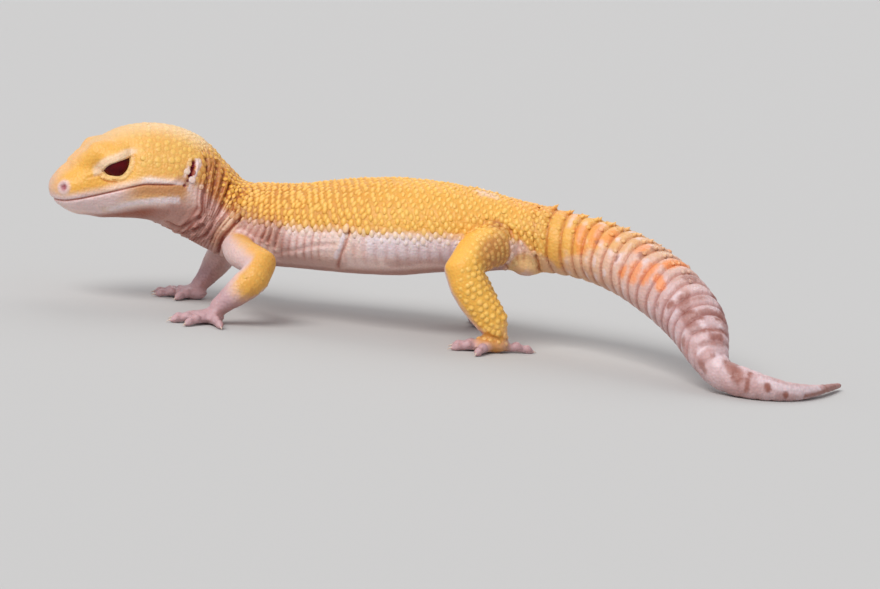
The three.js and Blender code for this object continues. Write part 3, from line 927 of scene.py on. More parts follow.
NOSTRILS = [beside_spine(2.9, side * 5.3, 0.55) for side in (1, -1)]
print("the nostrils are", round(math.dist(*NOSTRILS), 1), "mm apart")

# %% Add up the heights
# a hollow across the back of the tail's end: distance, half width, depth
HOLLOW_AT, HOLLOW_WIDE, HOLLOW_DEEP = 178, 4.5, 1.35
TIP_FROM, TIP_TO = 196, 212  # where the tail's tip draws in and lifts off the floor

points = coordinates(bm)
at, turn, ratio = places_on_body(points)
on_body = 1 - rise_between(1.06, 1.16, ratio)
flat = body_points(at, turn)
height = crease_heights(flat) * (1 - rise_between(1.1, 1.25, ratio))
height -= wrinkle_depths(points, at, turn) * on_body
height += ring_heights(points, at, turn) * on_body
height += lip_heights(points, ratio) + ear_heights(flat) * on_body
height += swelling_heights(flat) * rise_between(1.6, 1.4, ratio)
across_back = rise_between(20, 100, turn % 360) * rise_between(250, 170, turn % 360)
hollow = across_back * bell(at, HOLLOW_AT, HOLLOW_WIDE)
height -= HOLLOW_DEEP * hollow * on_body
height += nostril_heights(points)
height += 0.08 * wobble(points, 3.0, 2) * (np.abs(ratio - 1) < 0.5)
points = points + normals(bm) * height[:, None]
tip = rise_between(TIP_FROM, TIP_TO, at) * (ratio < 2)
middle = spine[spine_index(at)]
points = points - (0.22 * tip)[:, None] * (points - middle) + tip[:, None] * (0, 0, 0.5)
place_points(bm, points)
skin.data = to_mesh(bm, "shaped_skin")

# %% [markdown]
# The skin now has more points than it needs where it is flat. A decimate step takes those away and keeps the
# ones at folds, lids and lips.

# %% Thin out the flat parts
SKIN_TRIANGLES = 196000


def count_triangles(mesh):
    """How many triangles the faces of a mesh make."""
    return sum(len(face.vertices) - 2 for face in mesh.polygons)


triangles = count_triangles(skin.data)
bm = to_bmesh(after_modifier(skin, "DECIMATE", ratio=min(1.0, SKIN_TRIANGLES / triangles)))
skin_points = coordinates(bm)
skin_normals = normals(bm)
skin_tree = BVHTree.FromBMesh(bm)
shade_smooth(bm)
skin.data = to_mesh(bm, "skin")
print("skin:", triangles, "triangles thinned to", count_triangles(skin.data))
print("skin box", skin_points.min(0).round(1), skin_points.max(0).round(1))

# %% [markdown]
# ## The markings
#
# The pattern is kept as masks, each from 0 to 1, worked out for any points: how much orange pigment there is,
# where the skin is cream or chalk white, with painted light on the crown, a flank ridge and the lower flank,
# where it is pink or flushed with blood, with painted shade under throat, jaw and belly, where orange is
# vivid, where brown spots lie, the dark red of the ear and nostril, how deep a fold is for the painted shade
# in it, and the valleys between the raised scales, with darker granules and painted shade. Skin and scales
# ask the same function, so they always agree.

# %% Where each colour lies
# distance, lowest turn of the orange back
ORANGE_EDGE = [(0, 20), (34, 14), (44, 10), (54, 11), (60, 8), (65, 4), (75, 0), (84, -5), (93, -11)]
ORANGE_EDGE += [(104, -12), (110, 0), (115, -2), (119, -36), (125, -44), (129, -22), (134, 4)]
ORANGE_EDGE += [(140, 26), (147, 44), (170, 60)]
# distance, strength of the orange
ORANGE_FADE = [(118, 1.0), (130, 0.95), (140, 0.7), (150, 0.45), (160, 0.3), (172, 0.0)]
# mask: (distance, turn) places, half width, strength
STROKES = {
    "cream": [
        ([(10.8, -47), (18.0, -35), (22.5, -31), (26.5, -25.5), (30.4, -18)], 0.95, 0.9),
        ([(46.4, 4), (44.6, -20), (44.2, -45)], 1.3, 0.5),
        ([(49.5, 20), (47.6, 0), (46.6, -20)], 1.2, 0.4),
        ([(29.3, 32), (29.4, 20), (29.2, 4)], 0.5, 0.7),
    ],
    "white_and_painted_light": [
        ([(12.0, -45), (18.0, -35), (22.5, -31), (26.5, -25.5), (30.4, -18)], 1.0, 0.9),
        ([(30.8, 37), (31.2, 30), (31.5, 22), (31.7, 12), (31.7, 2)], 0.5, 0.75),
        ([(30.8, 36), (31.0, 33)], 0.9, 0.8),
        ([(29.6, 24), (29.5, 12)], 0.35, 0.5),
        # painted highlight on the raised ridge in front of the flank's fold
        ([(75.1, 2), (74.2, -15), (72.5, -35)], 0.55, 0.9),
        # painted light on the lower flank, as if bounced up from below
        ([(82, -16), (92, -20), (100, -22)], 3.4, 0.8),
        ([(124.3, 85), (125.2, 45)], 0.6, 0.4),
        ([(128.2, 62), (129.0, 22)], 0.6, 0.35),
        ([(132.0, 75), (132.8, 42)], 0.6, 0.45),
        ([(170.6, 45), (171.0, 72)], 0.8, 0.8),
        ([(174.6, 55), (175.4, 20)], 0.9, 0.7),
        ([(178.0, 66), (179.6, 38)], 1.5, 0.55),
        ([(188.0, 40), (196.0, 20), (204.0, 30)], 1.2, 0.6),
        ([(62, -12), (70, -16)], 2.5, 0.25),
        ([(102.5, 77), (106.0, 74)], 1.2, 0.4),
    ],
    # blood flush; the strokes low on throat, belly and tail also stand in for painted shade underneath
    "blush_and_shade": [
        ([(34, -70), (40, -60)], 4.0, 0.7),
        ([(33.5, -30), (36, -25), (38, -12)], 2.5, 0.65),
        ([(34.5, 45), (37, 20), (39, 0), (40, -20)], 3.5, 0.5),
        ([(60, -48), (72, -48)], 3.0, 0.45),
        ([(86, -42), (93, -36), (99, -44)], 2.4, 0.4),
        ([(104, -40), (110, -50)], 3.0, 0.6),
        ([(108.5, 16), (110.6, 2), (111.2, -16)], 2.0, 0.5),
        ([(49, 10), (54, 4), (58, -2)], 3.0, 0.5),
        ([(51, 4), (56, -8), (60, -18)], 2.5, 0.5),
        ([(136, -40), (150, -40)], 5.0, 0.35),
        ([(28.0, 2), (29.0, 10), (29.6, 24)], 0.8, 0.5),
    ],
    "vivid": [
        ([(128.1, 45), (129.0, 30), (130.7, 10)], 1.6, 0.6),
        ([(131.2, 64), (133.4, 30)], 1.6, 0.6),
        ([(135.8, 62), (136.2, 44)], 1.5, 0.6),
        ([(147.3, 32), (148.5, 10)], 1.6, 0.7),
        ([(150.7, 50), (151.2, 22)], 1.6, 0.75),
        ([(151.9, 86), (152.2, 72)], 1.7, 0.8),
        ([(153.7, 40), (156.0, 32)], 1.3, 0.8),
        ([(144.3, 72), (144.6, 58)], 1.5, 0.7),
        ([(144.9, 14), (145.0, 5)], 1.2, 0.8),
        ([(112, 100), (122, 90)], 4.0, 0.3),
    ],
    "brown": [
        ([(157.2, 100), (157.4, 88)], 1.3, 0.8),
        ([(161.4, 27), (161.4, 20)], 0.8, 0.8),
        ([(158.3, 6), (158.3, 2)], 0.5, 0.6),
        ([(165.9, 40), (166.6, 58)], 0.7, 0.9),
        ([(168.7, 66), (168.9, 74)], 0.6, 0.9),
        ([(171.6, 58), (171.8, 84)], 0.7, 0.9),
        ([(173.2, 76), (173.6, 104)], 0.8, 0.8),
        ([(170.8, 8), (171.4, -6)], 0.7, 0.7),
        ([(167.4, 120), (169.0, 140)], 1.2, 0.8),
        ([(177.6, 50), (177.8, 43)], 0.5, 0.6),
        ([(177.2, 2), (178.6, -10)], 0.9, 0.7),
        ([(180.8, 66), (183.0, 44), (184.2, 18)], 1.6, 0.9),
        ([(162.0, 128), (166.0, 138), (171.0, 132)], 1.5, 0.7),
        ([(209.0, 110), (219.0, 90)], 2.5, 0.75),
        ([(174.4, 40), (175.0, 100)], 0.8, 0.6),
        ([(167.2, 88), (167.6, 112)], 0.9, 0.7),
        ([(181.0, 80), (182.0, 110)], 1.2, 0.7),
        ([(185.9, 60), (186.2, -20)], 0.6, 0.9),
        ([(189.2, 22), (189.6, 4)], 0.8, 1.0),
        ([(193.2, -6), (193.4, -22)], 0.7, 1.0),
        ([(198.6, -14), (204.0, 0), (209.6, 30), (215, 60)], 0.6, 0.9),
        ([(163.2, 80), (163.6, 112)], 0.6, 0.5),
        ([(141.4, 25), (141.5, 20)], 0.5, 0.7),
        ([(134.0, 35), (134.1, 31)], 0.45, 0.6),
        ([(145.7, 54), (145.8, 49)], 0.6, 0.7),
        ([(145.7, 80), (145.8, 75)], 0.5, 0.6),
    ],
}
ARM_ENDS, LEG_ENDS = 0.80, 1.04  # share of a limb's length where its orange ends
print("strokes:", {name: len(strokes) for name, strokes in STROKES.items()})


# %% Masks from strokes, and on limbs and trunk
def strongest(*masks):
    """The strongest of some masks at each point."""
    return np.maximum.reduce(masks)


def raise_to(masks, name, values):
    """Lays more of a colour over what is there."""
    masks[name] = np.maximum(masks[name], values)


def stroke_mask(points, name):
    """How strongly the strokes of one mask colour each point, on both sides."""
    mask = np.zeros(len(points))
    ragged = wobble(points, 0.8, 5)
    for places, half_width, strength in STROKES[name]:
        for line in body_lines(places):
            near, gaps = line_gaps(points, line, half_width * 1.8)
            x = gaps / half_width + 0.25 * ragged[near]
            mask[near] = np.maximum(mask[near], strength * (1 - rise_between(0.4, 1.3, x)))
    return mask


def limb_orange(points, facing, which, share):
    """Pigment on the limbs: the outer side, down to the wrist or over the foot."""
    outward = np.array([limb["side"] for limb in LIMBS.values()])[which]
    is_arm = which < 2
    arm = 0.55 * facing[:, 0] - 0.6 * outward * facing[:, 1] + 0.45 * facing[:, 2]
    leg = 0.25 * facing[:, 0] - 0.75 * outward * facing[:, 1] + 0.45 * facing[:, 2]
    lit = np.where(is_arm, rise_between(0.0, 0.6, arm), rise_between(-0.35, 0.2, leg))
    ragged = 0.02 * wobble(points, 1.2, 8)
    end = np.where(is_arm, ARM_ENDS, LEG_ENDS) + ragged
    fade = np.where(is_arm, 0.06, 0.03)
    return lit * rise_between(1, -1, (share - end) / fade)


def trunk_orange(points, at, side_turn):
    """Pigment on trunk and tail: above a ragged edge, and fading along the tail."""
    on_tail = rise_between(112, 120, at)
    blur = 7 + 16 * on_tail
    ragged = (5 + 20 * on_tail) * wobble(points, 2.5, 4)
    orange = rise_between(-blur, blur, side_turn - read_table(ORANGE_EDGE, at) + ragged)
    orange = strongest(orange, on_tail * np.interp(at, (118, 136, 150), (0.6, 0.5, 0.15)))
    neck = rise_between(32, 36, at) * rise_between(49, 45, at)
    return orange * read_table(ORANGE_FADE, at) * (1 - neck * 0.35 * rise_between(35, 5, side_turn))


# %% Masks of the head
def head_masks(points, at, side_turn):
    """The masks that only the head has, before they fade into the neck."""
    back, above = above_lips(points)
    upper = rise_between(-0.1, 0.1, above)
    lower = 1 - upper
    # the crown: cream, partly a painted highlight where light falls on top of the head
    crown = upper * rise_between(35, 75, side_turn) * rise_between(6, 14, at)
    lip = upper * rise_between(2.0, 0.4, above) * rise_between(6, 12, at)
    snout_lip = upper * rise_between(1.8, 0.3, above) * rise_between(9, 4, at)
    lip_skin = upper * rise_between(1.4, 0.2, above)
    face = upper * rise_between(26, 12, at)
    band_top = np.interp(back, (17, 22, 25, 28), (1.9, 1.4, 0.9, 0.6))
    band = upper * rise_between(0.5, -0.4, above - band_top)
    band *= rise_between(18, 20.5, back) * rise_between(29, 27.5, back)
    stripe_edge = np.interp(at, (8, 14.4, 19.7, 25.9, 31.2), (-52, -42, -34, -27, -17))
    jaw = lower * rise_between(13, 19, back) * rise_between(-4, 6, side_turn - stripe_edge)
    # under the jaw: a blood tone together with painted shade beneath the head
    under = lower * rise_between(-2, -18, side_turn - stripe_edge) * rise_between(2, 12, at)
    under *= 1 - 0.3 * rise_between(22, 28, at)
    chin = lower * rise_between(20, 13, back) * rise_between(-60, -48, side_turn)
    rear = rise_between(26.5, 29, back) * rise_between(6, 2, above) * rise_between(-3, -1, above)
    orange = upper * rise_between(0.3, 2.4, above) * rise_between(-4.0, 4.0, at)
    orange *= 1 - 0.3 * rise_between(40, 75, side_turn)
    masks = {
        "orange": strongest(orange, 0.75 * jaw),
        "cream": strongest(0.5 * crown, 0.5 * lip, 0.9 * band, 0.16 * upper * rise_between(12, 18, at)),
        "white_and_painted_light": strongest(0.6 * band, 0.2 * chin, 0.35 * snout_lip),
        "pink": strongest(0.25 * rise_between(5, 1, at), 0.35 * lip_skin, 0.25 * chin),
        "blush_and_shade": strongest(0.5 * under**0.5 + 0.5 * under, 0.14 * face, 0.5 * rear),
        # painted shade along the mouth's line
        "fold_shade": bell(above, 0, 0.2) * rise_between(27.4, 25.5, back),
    }
    raise_to(masks, "blush_and_shade", 0.52 * jaw * rise_between(-3.4, -1.8, above))
    for eye in EYES.values():
        _, x, y = seen_from_eye(points, eye)
        gap = lid_gaps(points, eye)
        top = on_upper_lid(x, y)
        flat_band = top * rise_between(2.4, 1.5, gap) * rise_between(-6.4, -5.2, x)
        roll = (1 - top) * rise_between(0.8, 0.6, gap)
        for name in ("pink", "blush_and_shade"):
            masks[name] = masks[name] * (1 - strongest(flat_band, roll))
        raise_to(masks, "cream", strongest(0.8 * flat_band, 0.6 * roll))
        raise_to(masks, "white_and_painted_light", 0.3 * flat_band)
        # painted shade in the crease under the lower lid
        raise_to(masks, "fold_shade", 0.75 * (1 - top) * bell(gap, 0.95, 0.22) * rise_between(1.0, -1.5, x))
    return masks


print("the head has its own", list(head_masks(spine[:2], spine_at[:2], np.zeros(2))))


# %% Colours that lie over the main pattern
def paint_trunk(masks, points, at, side_turn, ring_share, body):
    """Blood and painted shade in the throat and under the belly, and the pale, blotched end of the tail."""
    throat = rise_between(24, 31, at) * rise_between(50, 44, at) * rise_between(10, -30, side_turn)
    # under the belly: blood tone and painted shade
    belly = rise_between(46, 54, at) * rise_between(120, 108, at) * rise_between(-44, -64, side_turn)
    tail = rise_between(112, 120, at) * np.interp(at, (132, 144, 156), (0.2, 0.34, 0.24))
    ovals = bell(ring_share, 0.42, 0.25) * rise_between(0.0, 0.35, wobble(points, 2.6, 9))
    ovals *= rise_between(121, 130, at) * rise_between(182, 168, at)
    tail_end = rise_between(142, 166, at)
    blotches = tail_end * rise_between(-0.5, 0.3, wobble(points, 3.2, 10))
    raise_to(masks, "blush_and_shade", strongest(0.66 * throat, 0.75 * belly, tail) * body)
    raise_to(masks, "pink", 0.8 * tail_end * body)
    raise_to(masks, "white_and_painted_light", strongest(0.6 * ovals, 0.3 * blotches) * body)


def paint_limbs(masks, points, facing, which, share, limb):
    """Bare pink toes, and blood at the rear of thighs and wrists and on the heels."""
    arm, leg = limb * (which < 2), limb * (which > 1)
    for number, palm in enumerate(palms):
        palm_gap = np.linalg.norm((points - palm) * (1, 1, 0), axis=1)
        toes = (which == number) * limb * rise_between(2.5, 5, palm_gap) * (share > 0.9)
        masks["orange"] = masks["orange"] * (1 - toes)
    foot = np.where(which < 2, rise_between(0.72, 0.88, share), rise_between(0.86, 0.95, share))
    rear = rise_between(0.0, 0.5, facing[:, 0])
    thigh = leg * rear * rise_between(0.55, 0.4, share)
    heel = leg * rise_between(0.93, 1.0, share) * masks["orange"]
    wrist = arm * rear * rise_between(0.62, 0.75, share) * rise_between(1.0, 0.93, share)
    raise_to(masks, "pink", limb * (1 - masks["orange"]) * (0.4 + 0.55 * foot))
    raise_to(masks, "blush_and_shade", strongest(0.6 * thigh, 0.55 * heel, 0.45 * wrist, 0.25 * arm * masks["orange"]))


def paint_openings(masks, points, flat, side_turn, body):
    """The swellings beside the vent, and the dark red of ears and nostrils with the nostrils' pale rims."""
    peach = rise_between(5.2, 4.0, gap_to(points, VENT_SWELLINGS)) * body * rise_between(-8, -20, side_turn)
    masks["orange"] = masks["orange"] * (1 - peach) + 0.7 * peach
    masks["blush_and_shade"] = masks["blush_and_shade"] * (1 - peach)
    raise_to(masks, "cream", 0.65 * peach)
    nostril_gap = gap_to(points, NOSTRILS)
    raise_to(masks, "pink", 0.8 * rise_between(2.0, 1.1, nostril_gap))
    raise_to(masks, "white_and_painted_light", 0.4 * rise_between(2.1, 1.5, nostril_gap))
    pits = 0.7 * rise_between(0.5, 0.25, gap_to(flat, ear_pits))
    masks["wine"] = strongest(pits, 0.8 * rise_between(1.1, 0.5, nostril_gap))
    for slit in ear_slits:
        near, gaps = line_gaps(flat, slit, 2)
        slit_mask = body[near] * (1 - rise_between(0.3, 0.55, gaps))
        masks["wine"][near] = np.maximum(masks["wine"][near], slit_mask)


# %% All masks together
def paint(points, facing):
    """All masks at the given points, whose surface faces the given ways."""
    at, turn, ratio = places_on_body(points)
    which, share = places_on_limbs(points)
    side_turn = on_one_side(turn)
    flat = body_points(at, turn)
    limb = rise_between(1.08, 1.3, ratio) * (at > 36) * (at < 140)
    body = 1 - limb
    head = rise_between(33.5, 30, at)
    of_head = head_masks(points, at, side_turn)
    orange = head * of_head["orange"] + (1 - head) * trunk_orange(points, at, side_turn)
    orange = limb * limb_orange(points, facing, which, share) + body * orange
    masks = {"orange": orange} | {name: stroke_mask(flat, name) * body for name in STROKES}
    for name in ("cream", "white_and_painted_light", "blush_and_shade"):
        raise_to(masks, name, head * of_head[name])
    masks["pink"] = head * of_head["pink"]
    _, ring_share, ring_gap = ring_places(points, at, turn)
    paint_trunk(masks, points, at, side_turn, ring_share, body)
    paint_limbs(masks, points, facing, which, share, limb)
    paint_openings(masks, points, flat, side_turn, body)
    # painted shade in creases, wrinkles and the tail's ring grooves
    creased = np.clip(-crease_heights(flat) / 0.5, 0, 1)
    wrinkled = np.clip(wrinkle_depths(points, at, turn) / 0.3, 0, 1)
    grooves = 0.6 * bell(ring_gap, 0, 0.4) * rise_between(182, 165, at)
    masks["fold_shade"] = strongest(strongest(creased, wrinkled, grooves) * body, head * of_head["fold_shade"])
    # valleys between the raised scales: darker granules, and painted shade in those hollows, strongest on the
    # fore back
    bumpy = rise_between(15, 26, at) * rise_between(121, 117, at) * (0.45 + 0.55 * rise_between(30, 44, at))
    bumpy *= 1 - 0.25 * rise_between(56, 68, at) - 0.35 * rise_between(72, 90, at)
    masks["valley_and_shade"] = orange * strongest(bumpy * body, 0.15 * limb * (which > 1))
    return masks


def set_masks(mesh, masks):
    """Stores each mask on the mesh's points."""
    for name, values in masks.items():
        mesh.attributes.new(name, "FLOAT", "POINT").data.foreach_set("value", values.astype(np.float32))


skin_masks = paint(skin_points, skin_normals)
set_masks(skin.data, skin_masks | {"tip": np.zeros(len(skin_points))})
print("mean masks:", {name: round(float(values.mean()), 2) for name, values in skin_masks.items()})

# %% [markdown]
# ## The raised scales
#
# A leopard gecko is named for its spots, but its feel comes from its tubercles: small cones in slanting rows,
# set among tiny granules. One cone is modelled from a sphere, and thousands of copies are set out in rows
# along the ruler, each one dropped onto the skin, turned with its row, and varied a little.

# %% One raised scale
def scale_shape(rings):
    """The points and faces of a low hill with a flared foot, bent from a ball's rings, top to underside."""
    bm = bmesh.new()
    bmesh.ops.create_uvsphere(bm, u_segments=8, v_segments=len(rings) - 1, radius=1)
    for v in bm.verts:
        angle = math.acos(max(-1.0, min(1.0, v.co.z)))
        radius, height = rings[round(angle / math.pi * (len(rings) - 1))]
        flat = math.hypot(v.co.x, v.co.y)
        grow = radius / flat if flat > 0.01 else 0
        v.co = (v.co.x * grow, v.co.y * grow, height)
    bm.verts.index_update()
    shape = coordinates(bm), [[v.index for v in face.verts] for face in bm.faces]
    bm.free()
    return shape


# a radius and a height for each ring
CONE = scale_shape([(0, 1.0), (0.34, 0.82), (0.7, 0.36), (1.0, -0.06), (0.7, -0.3), (0, -0.4)])
DOME = scale_shape([(0, 1.0), (0.48, 0.87), (0.8, 0.4), (1.0, -0.06), (0.7, -0.4), (0, -0.5)])
THORN = scale_shape([(0, 1.0), (0.2, 0.68), (0.5, 0.27), (1.0, -0.08), (0.7, -0.3), (0, -0.4)])
print("one scale has", len(CONE[0]), "points and", len(CONE[1]), "faces")

# %% Many copies of a scale
PATCH = 0.0015  # half the width of a scale's patch in the bake map


def joined_copies(name, parts):
    """One mesh of many copies of shapes. A spot is a root, three half axes and a place in the bake map.

    Each part is a shape, its spots, and how much lighter their tips are: a paler tip with a painted
    highlight."""
    corners, all_faces, patches, masks = [], [], [], []
    start = 0
    for (points, faces), spots, light in parts:
        roots, axes, places = (np.array(column) for column in zip(*spots))
        count = len(points)
        end = start + count * len(spots)
        corners.append((roots[:, None] + np.einsum("pk,nkc->npc", points, axes)).reshape(-1, 3))
        patches.append((places[:, None] + PATCH * points[:, :2]).reshape(-1, 2))
        firsts = range(start, end, count)
        all_faces += [[corner + first for corner in face] for first in firsts for face in faces]
        start = end
        facing = unit(np.cross(axes[:, 0], axes[:, 1]))
        made = {key: np.repeat(values, count) for key, values in paint(roots, facing).items()}
        high = np.tile(np.clip(points[:, 2], 0, 1), len(spots))
        # painted highlight: each scale is lighter towards its top
        made["tip"] = light * high
        # the painted shade of valleys and folds lies only at a scale's foot, none on its top
        made["valley_and_shade"] = made["valley_and_shade"] * (1 - high)
        made["fold_shade"] = made["fold_shade"] * 0.5 * (1 - high)
        masks.append(made)
    mesh = bpy.data.meshes.new(name)
    mesh.from_pydata(np.vstack(corners) * MM, [], all_faces)
    mesh.polygons.foreach_set("use_smooth", np.full(len(mesh.polygons), True))
    set_masks(mesh, {key: np.concatenate([made[key] for made in masks]) for key in masks[0]})
    of_corner = np.zeros(len(mesh.loops), np.int32)
    mesh.loops.foreach_get("vertex_index", of_corner)
    mesh.uv_layers.new(name="OFBake").data.foreach_set("uv", np.vstack(patches)[of_corner].ravel())
    print(f"{name}: {sum(len(spots) for _, spots, _ in parts)} scales, {count_triangles(mesh)} triangles")
    return as_object(name, mesh)


# %% Set a scale on the skin
SINK = 0.08  # how deep a scale's root lies in the skin
REACH_OUT = 3.5  # a scale is dropped onto the skin from this far outside it
RAY_LENGTH = 30  # and falls this far at most
STRAY = 1.2  # a scale is left out where the skin is further than this from the scale's place
FLOOR_ROOM = 0.8  # no scale of the body is lower than this over the floor
MAP_EDGE = 0.02  # a free edge of the bake map


def drop(origin, direction):
    """Where a ray meets the skin: the point and the way the skin faces, or nothing."""
    found, facing, _, _ = skin_tree.ray_cast(Vector(origin), Vector(direction), RAY_LENGTH)
    return (None, None) if found is None else (np.array(found), np.array(facing))


def scale_axes(facing, rearward_way, along, across, tall, lean):
    """Half axes of a scale: along the body, across it, and out of the skin with a lean to the rear."""
    rear = unit(rearward_way - facing * (rearward_way @ facing))
    side = np.cross(facing, rear)
    return np.array((rear * along, side * across, unit(facing + lean * rear) * tall))


def body_spot(at, turn, along, across, tall, lean=0.25, slant=None):
    """A scale on the body, or nothing where a limb or an opening is in the way."""
    i = spine_index(at)
    surface = body_points(at, turn)
    away = unit(surface - spine[i])
    hit, facing = drop(surface + REACH_OUT * away, -away)
    if hit is None or np.linalg.norm(hit - surface) > STRAY or hit[2] < FLOOR_ROOM:
        return None
    rear = rearward[i]
    if slant is not None:
        rear = np.cross(slant, facing)
        rear = rear * np.sign(rear @ rearward[i])
    patch = np.array((MAP_EDGE + 0.96 * at / LENGTH, MAP_EDGE + 0.46 * ((turn + 90) % 360) / 360))
    return hit - SINK * facing, scale_axes(facing, rear, along, across, tall, lean), patch


print("skin at the middle of the back:", body_spot(85, 90, 1, 1, 1)[0].round(1), "mm")

# %% Rows of scales on head, neck and trunk
# zone, first and last row, step, scales round the body, half length along, half length across, height
SCALE_ZONES = [
    ("head", 12.5, 33.6, 1.3, 40, 0.8, 0.85, 0.18),
    ("neck", 33.92, 47.0, 1.0, 34, 0.55, 0.75, 0.22),
    ("trunk", 47.2, 62.0, 0.84, 22, 0.76, 1.15, 0.55),
    ("trunk", 62.0, 98.0, 0.84, 25, 0.78, 1.2, 0.52),
    ("trunk", 98.0, 121.5, 0.86, 21, 0.74, 1.05, 0.5),
]
SCALE_SLANT = 0.3  # how far a trunk scale's upper end leans to the rear
SLANT_STEP = 4  # a row's own slant is measured over this turn on both sides
EYE_BARE = 6.4  # nearer to an eye's centre than this, no scale is raised
SMALLEST = 0.12  # a scale that is grown less than this is left out


def grown_share(zone, at, side_turn):
    """How far a scale is grown: most on the back, not at all under the belly."""
    if zone == "head":
        return rise_between(0, 16, side_turn) * (0.6 + 0.4 * rise_between(14, 24, at))
    if zone == "neck":
        return rise_between(2, 26, side_turn)
    grown = rise_between(-20, 4, side_turn - read_table(ORANGE_EDGE, at))
    return grown * (1 - 0.25 * rise_between(70, 90, at)) * rise_between(124, 116, at)


spots = {"head": [], "neck": [], "trunk": []}
ring = 0
for zone, start, end, step, around, along, across, tall in SCALE_ZONES:
    for row in np.arange(start, end, step):
        ring += 1
        for number in range(around):
            jitter = dice.normal(0, 1, 4)
            turn = (number + 0.5 * (ring % 2)) * 360 / around - 90 + 1.1 * jitter[0]
            side_turn = on_one_side(turn)
            level = row + row_shift(row, turn)
            at = level + 0.09 * jitter[1]
            grown = grown_share(zone, at, side_turn)
            if grown < SMALLEST or (at < 20 and side_turn < 45):
                continue
            size = grown**0.5 * (1 + 0.1 * jitter[2])
            height = tall * grown * (1 + 0.12 * jitter[3])
            stretch = 1 + (row_shift(row + 1, turn) - row_shift(row - 1, turn)) / 2
            long = along * size * np.clip(stretch, 0.8, 1.3)
            over, under = turn + SLANT_STEP, turn - SLANT_STEP
            rear = rearward[spine_index(at)]
            slant = body_points(level, over) - body_points(level, under)
            slant = slant + (row_shift(row, over) - row_shift(row, under)) * rear
            if zone == "trunk":
                slant = unit(slant) * (1 if side_turn == turn else -1) + SCALE_SLANT * rear
            spot = body_spot(at, turn, long, across * size, height, slant=slant)
            if spot is not None and eye_gap(spot[0][None])[0] > EYE_BARE:
                spots[zone].append(spot)
# the last number of each part sets how strong the tips' paler tone and painted highlight are
scales_head = joined_copies("scales_head", [(DOME, spots["head"], 0.3), (DOME, spots["neck"], 0.08)])
scales_trunk = joined_copies("scales_trunk", [(CONE, spots["trunk"], 1.0)])

# %% Thorns on the tail's rings
# turn, height
THORN_TURNS = [(34, 0.22), (57, 0.35), (83, 1.0), (97, 1.0), (123, 0.4), (146, 0.35)]
THORN_RINGS = 20  # thorns shrink from ring to ring, and the rings behind these have none
THORN_FROM, BEAD_FROM = 0.45, 0.2  # lower thorns are round beads, and the lowest are left out

thorn_spots, bead_spots = [], []
for ring in range(THORN_RINGS):
    rear = ring_edges[ring + 1]
    small = np.interp(ring, (0, 7, 10, 13), (1.0, 0.9, 0.5, 0.1))
    for turn, tall in THORN_TURNS:
        turn = turn + 1.5 * dice.normal()
        tall = tall * (1 + 0.15 * dice.normal()) * small
        at = rear - 0.8 - RING_LEAN * np.sin(np.radians(turn))
        wide = 0.6 + 0.4 * tall
        spot = body_spot(at, turn, 0.95 * wide, 0.8 * wide, 1.35 * tall, 0.55)
        if spot is not None and tall > BEAD_FROM:
            (thorn_spots if tall > THORN_FROM else bead_spots).append(spot)
scales_tail = joined_copies("scales_tail", [(THORN, thorn_spots, 1.7), (DOME, bead_spots, 0.4)])

# %% Scales on the limbs
# kind: first and last share of the limb's length, spacing, half size, height
LIMB_SCALES = {
    "arm": (0.5, 0.9, 1.45, 0.7, 0.2),
    "leg": (0.14, 0.99, 1.65, 0.86, 0.42),
}
ROW_STEP = 0.87  # from row to row, as a share of the spacing in a row
SMALLEST_ON_LIMBS = 0.3  # a scale that is grown less than this is left out
LIMB_SINK = 0.12  # how deep a scale's root lies in a limb's skin

limb_spots = {"arm": [], "leg": []}
for number, (name, limb) in enumerate(LIMBS.items()):
    kind = name[:3]
    first, last, spacing, half, tall = LIMB_SCALES[kind]
    long = limb["at"][-1]
    ways = unit(np.gradient(limb["points"], limb["at"], axis=0))
    for row, at in enumerate(np.arange(first * long, last * long, spacing * ROW_STEP)):
        i = np.searchsorted(limb["at"], at)
        share = at / long
        way, middle, radius = ways[i], limb["points"][i], limb["half"][i]
        side = unit(np.cross(way, (0.3, 1.0, 0.1)))
        other = np.cross(way, side)
        around = int(2 * np.pi * radius / spacing)
        for k in range(around):
            angle = (k + 0.5 * (row % 2)) * 2 * np.pi / around + 0.06 * dice.normal()
            away = np.cos(angle) * side + np.sin(angle) * other
            hit, facing = drop(middle + away * (radius + 3), -away)
            if hit is None or abs(np.linalg.norm(hit - middle) - radius) > STRAY:
                continue
            grown = limb_orange(hit[None], facing[None], np.array([number]), np.array([share]))[0]
            if kind == "arm":
                grown = max(grown, rise_between(0.1, 0.5, facing[0]) * rise_between(0.92, 0.86, share))
            knee = bell(share, 0.5, 0.1) * rise_between(-0.3, 0.4, -facing[0])
            smooth_front = rise_between(0.3, 0.75, -facing[0])
            grown *= (1 - 0.9 * knee) * (1 - 0.7 * smooth_front) * (1 + 0.12 * dice.normal())
            if grown < SMALLEST_ON_LIMBS:
                continue
            patch = np.array((MAP_EDGE + 0.23 * number + 0.2 * share, 0.55 + 0.4 * angle / 7))
            size = half * grown**0.5
            axes = scale_axes(facing, way, size, size, tall * grown, 0.45)
            limb_spots[kind].append((hit - LIMB_SINK * facing, axes, patch))
scales_limbs = joined_copies("scales_limbs", [(CONE, limb_spots["arm"], 0.3), (CONE, limb_spots["leg"], 1.0)])

# %% [markdown]
# ## Eyes and claws
#
# Each eye is a smooth ball with a slightly bulging clear front. The animal is an albino, so the iris is a
# dark blood red. The claws are tiny curved cones at the ends of the toes.

# %% Eyes
BULGE = 0.03  # how much further out the eye's clear front is, as a share of its radius


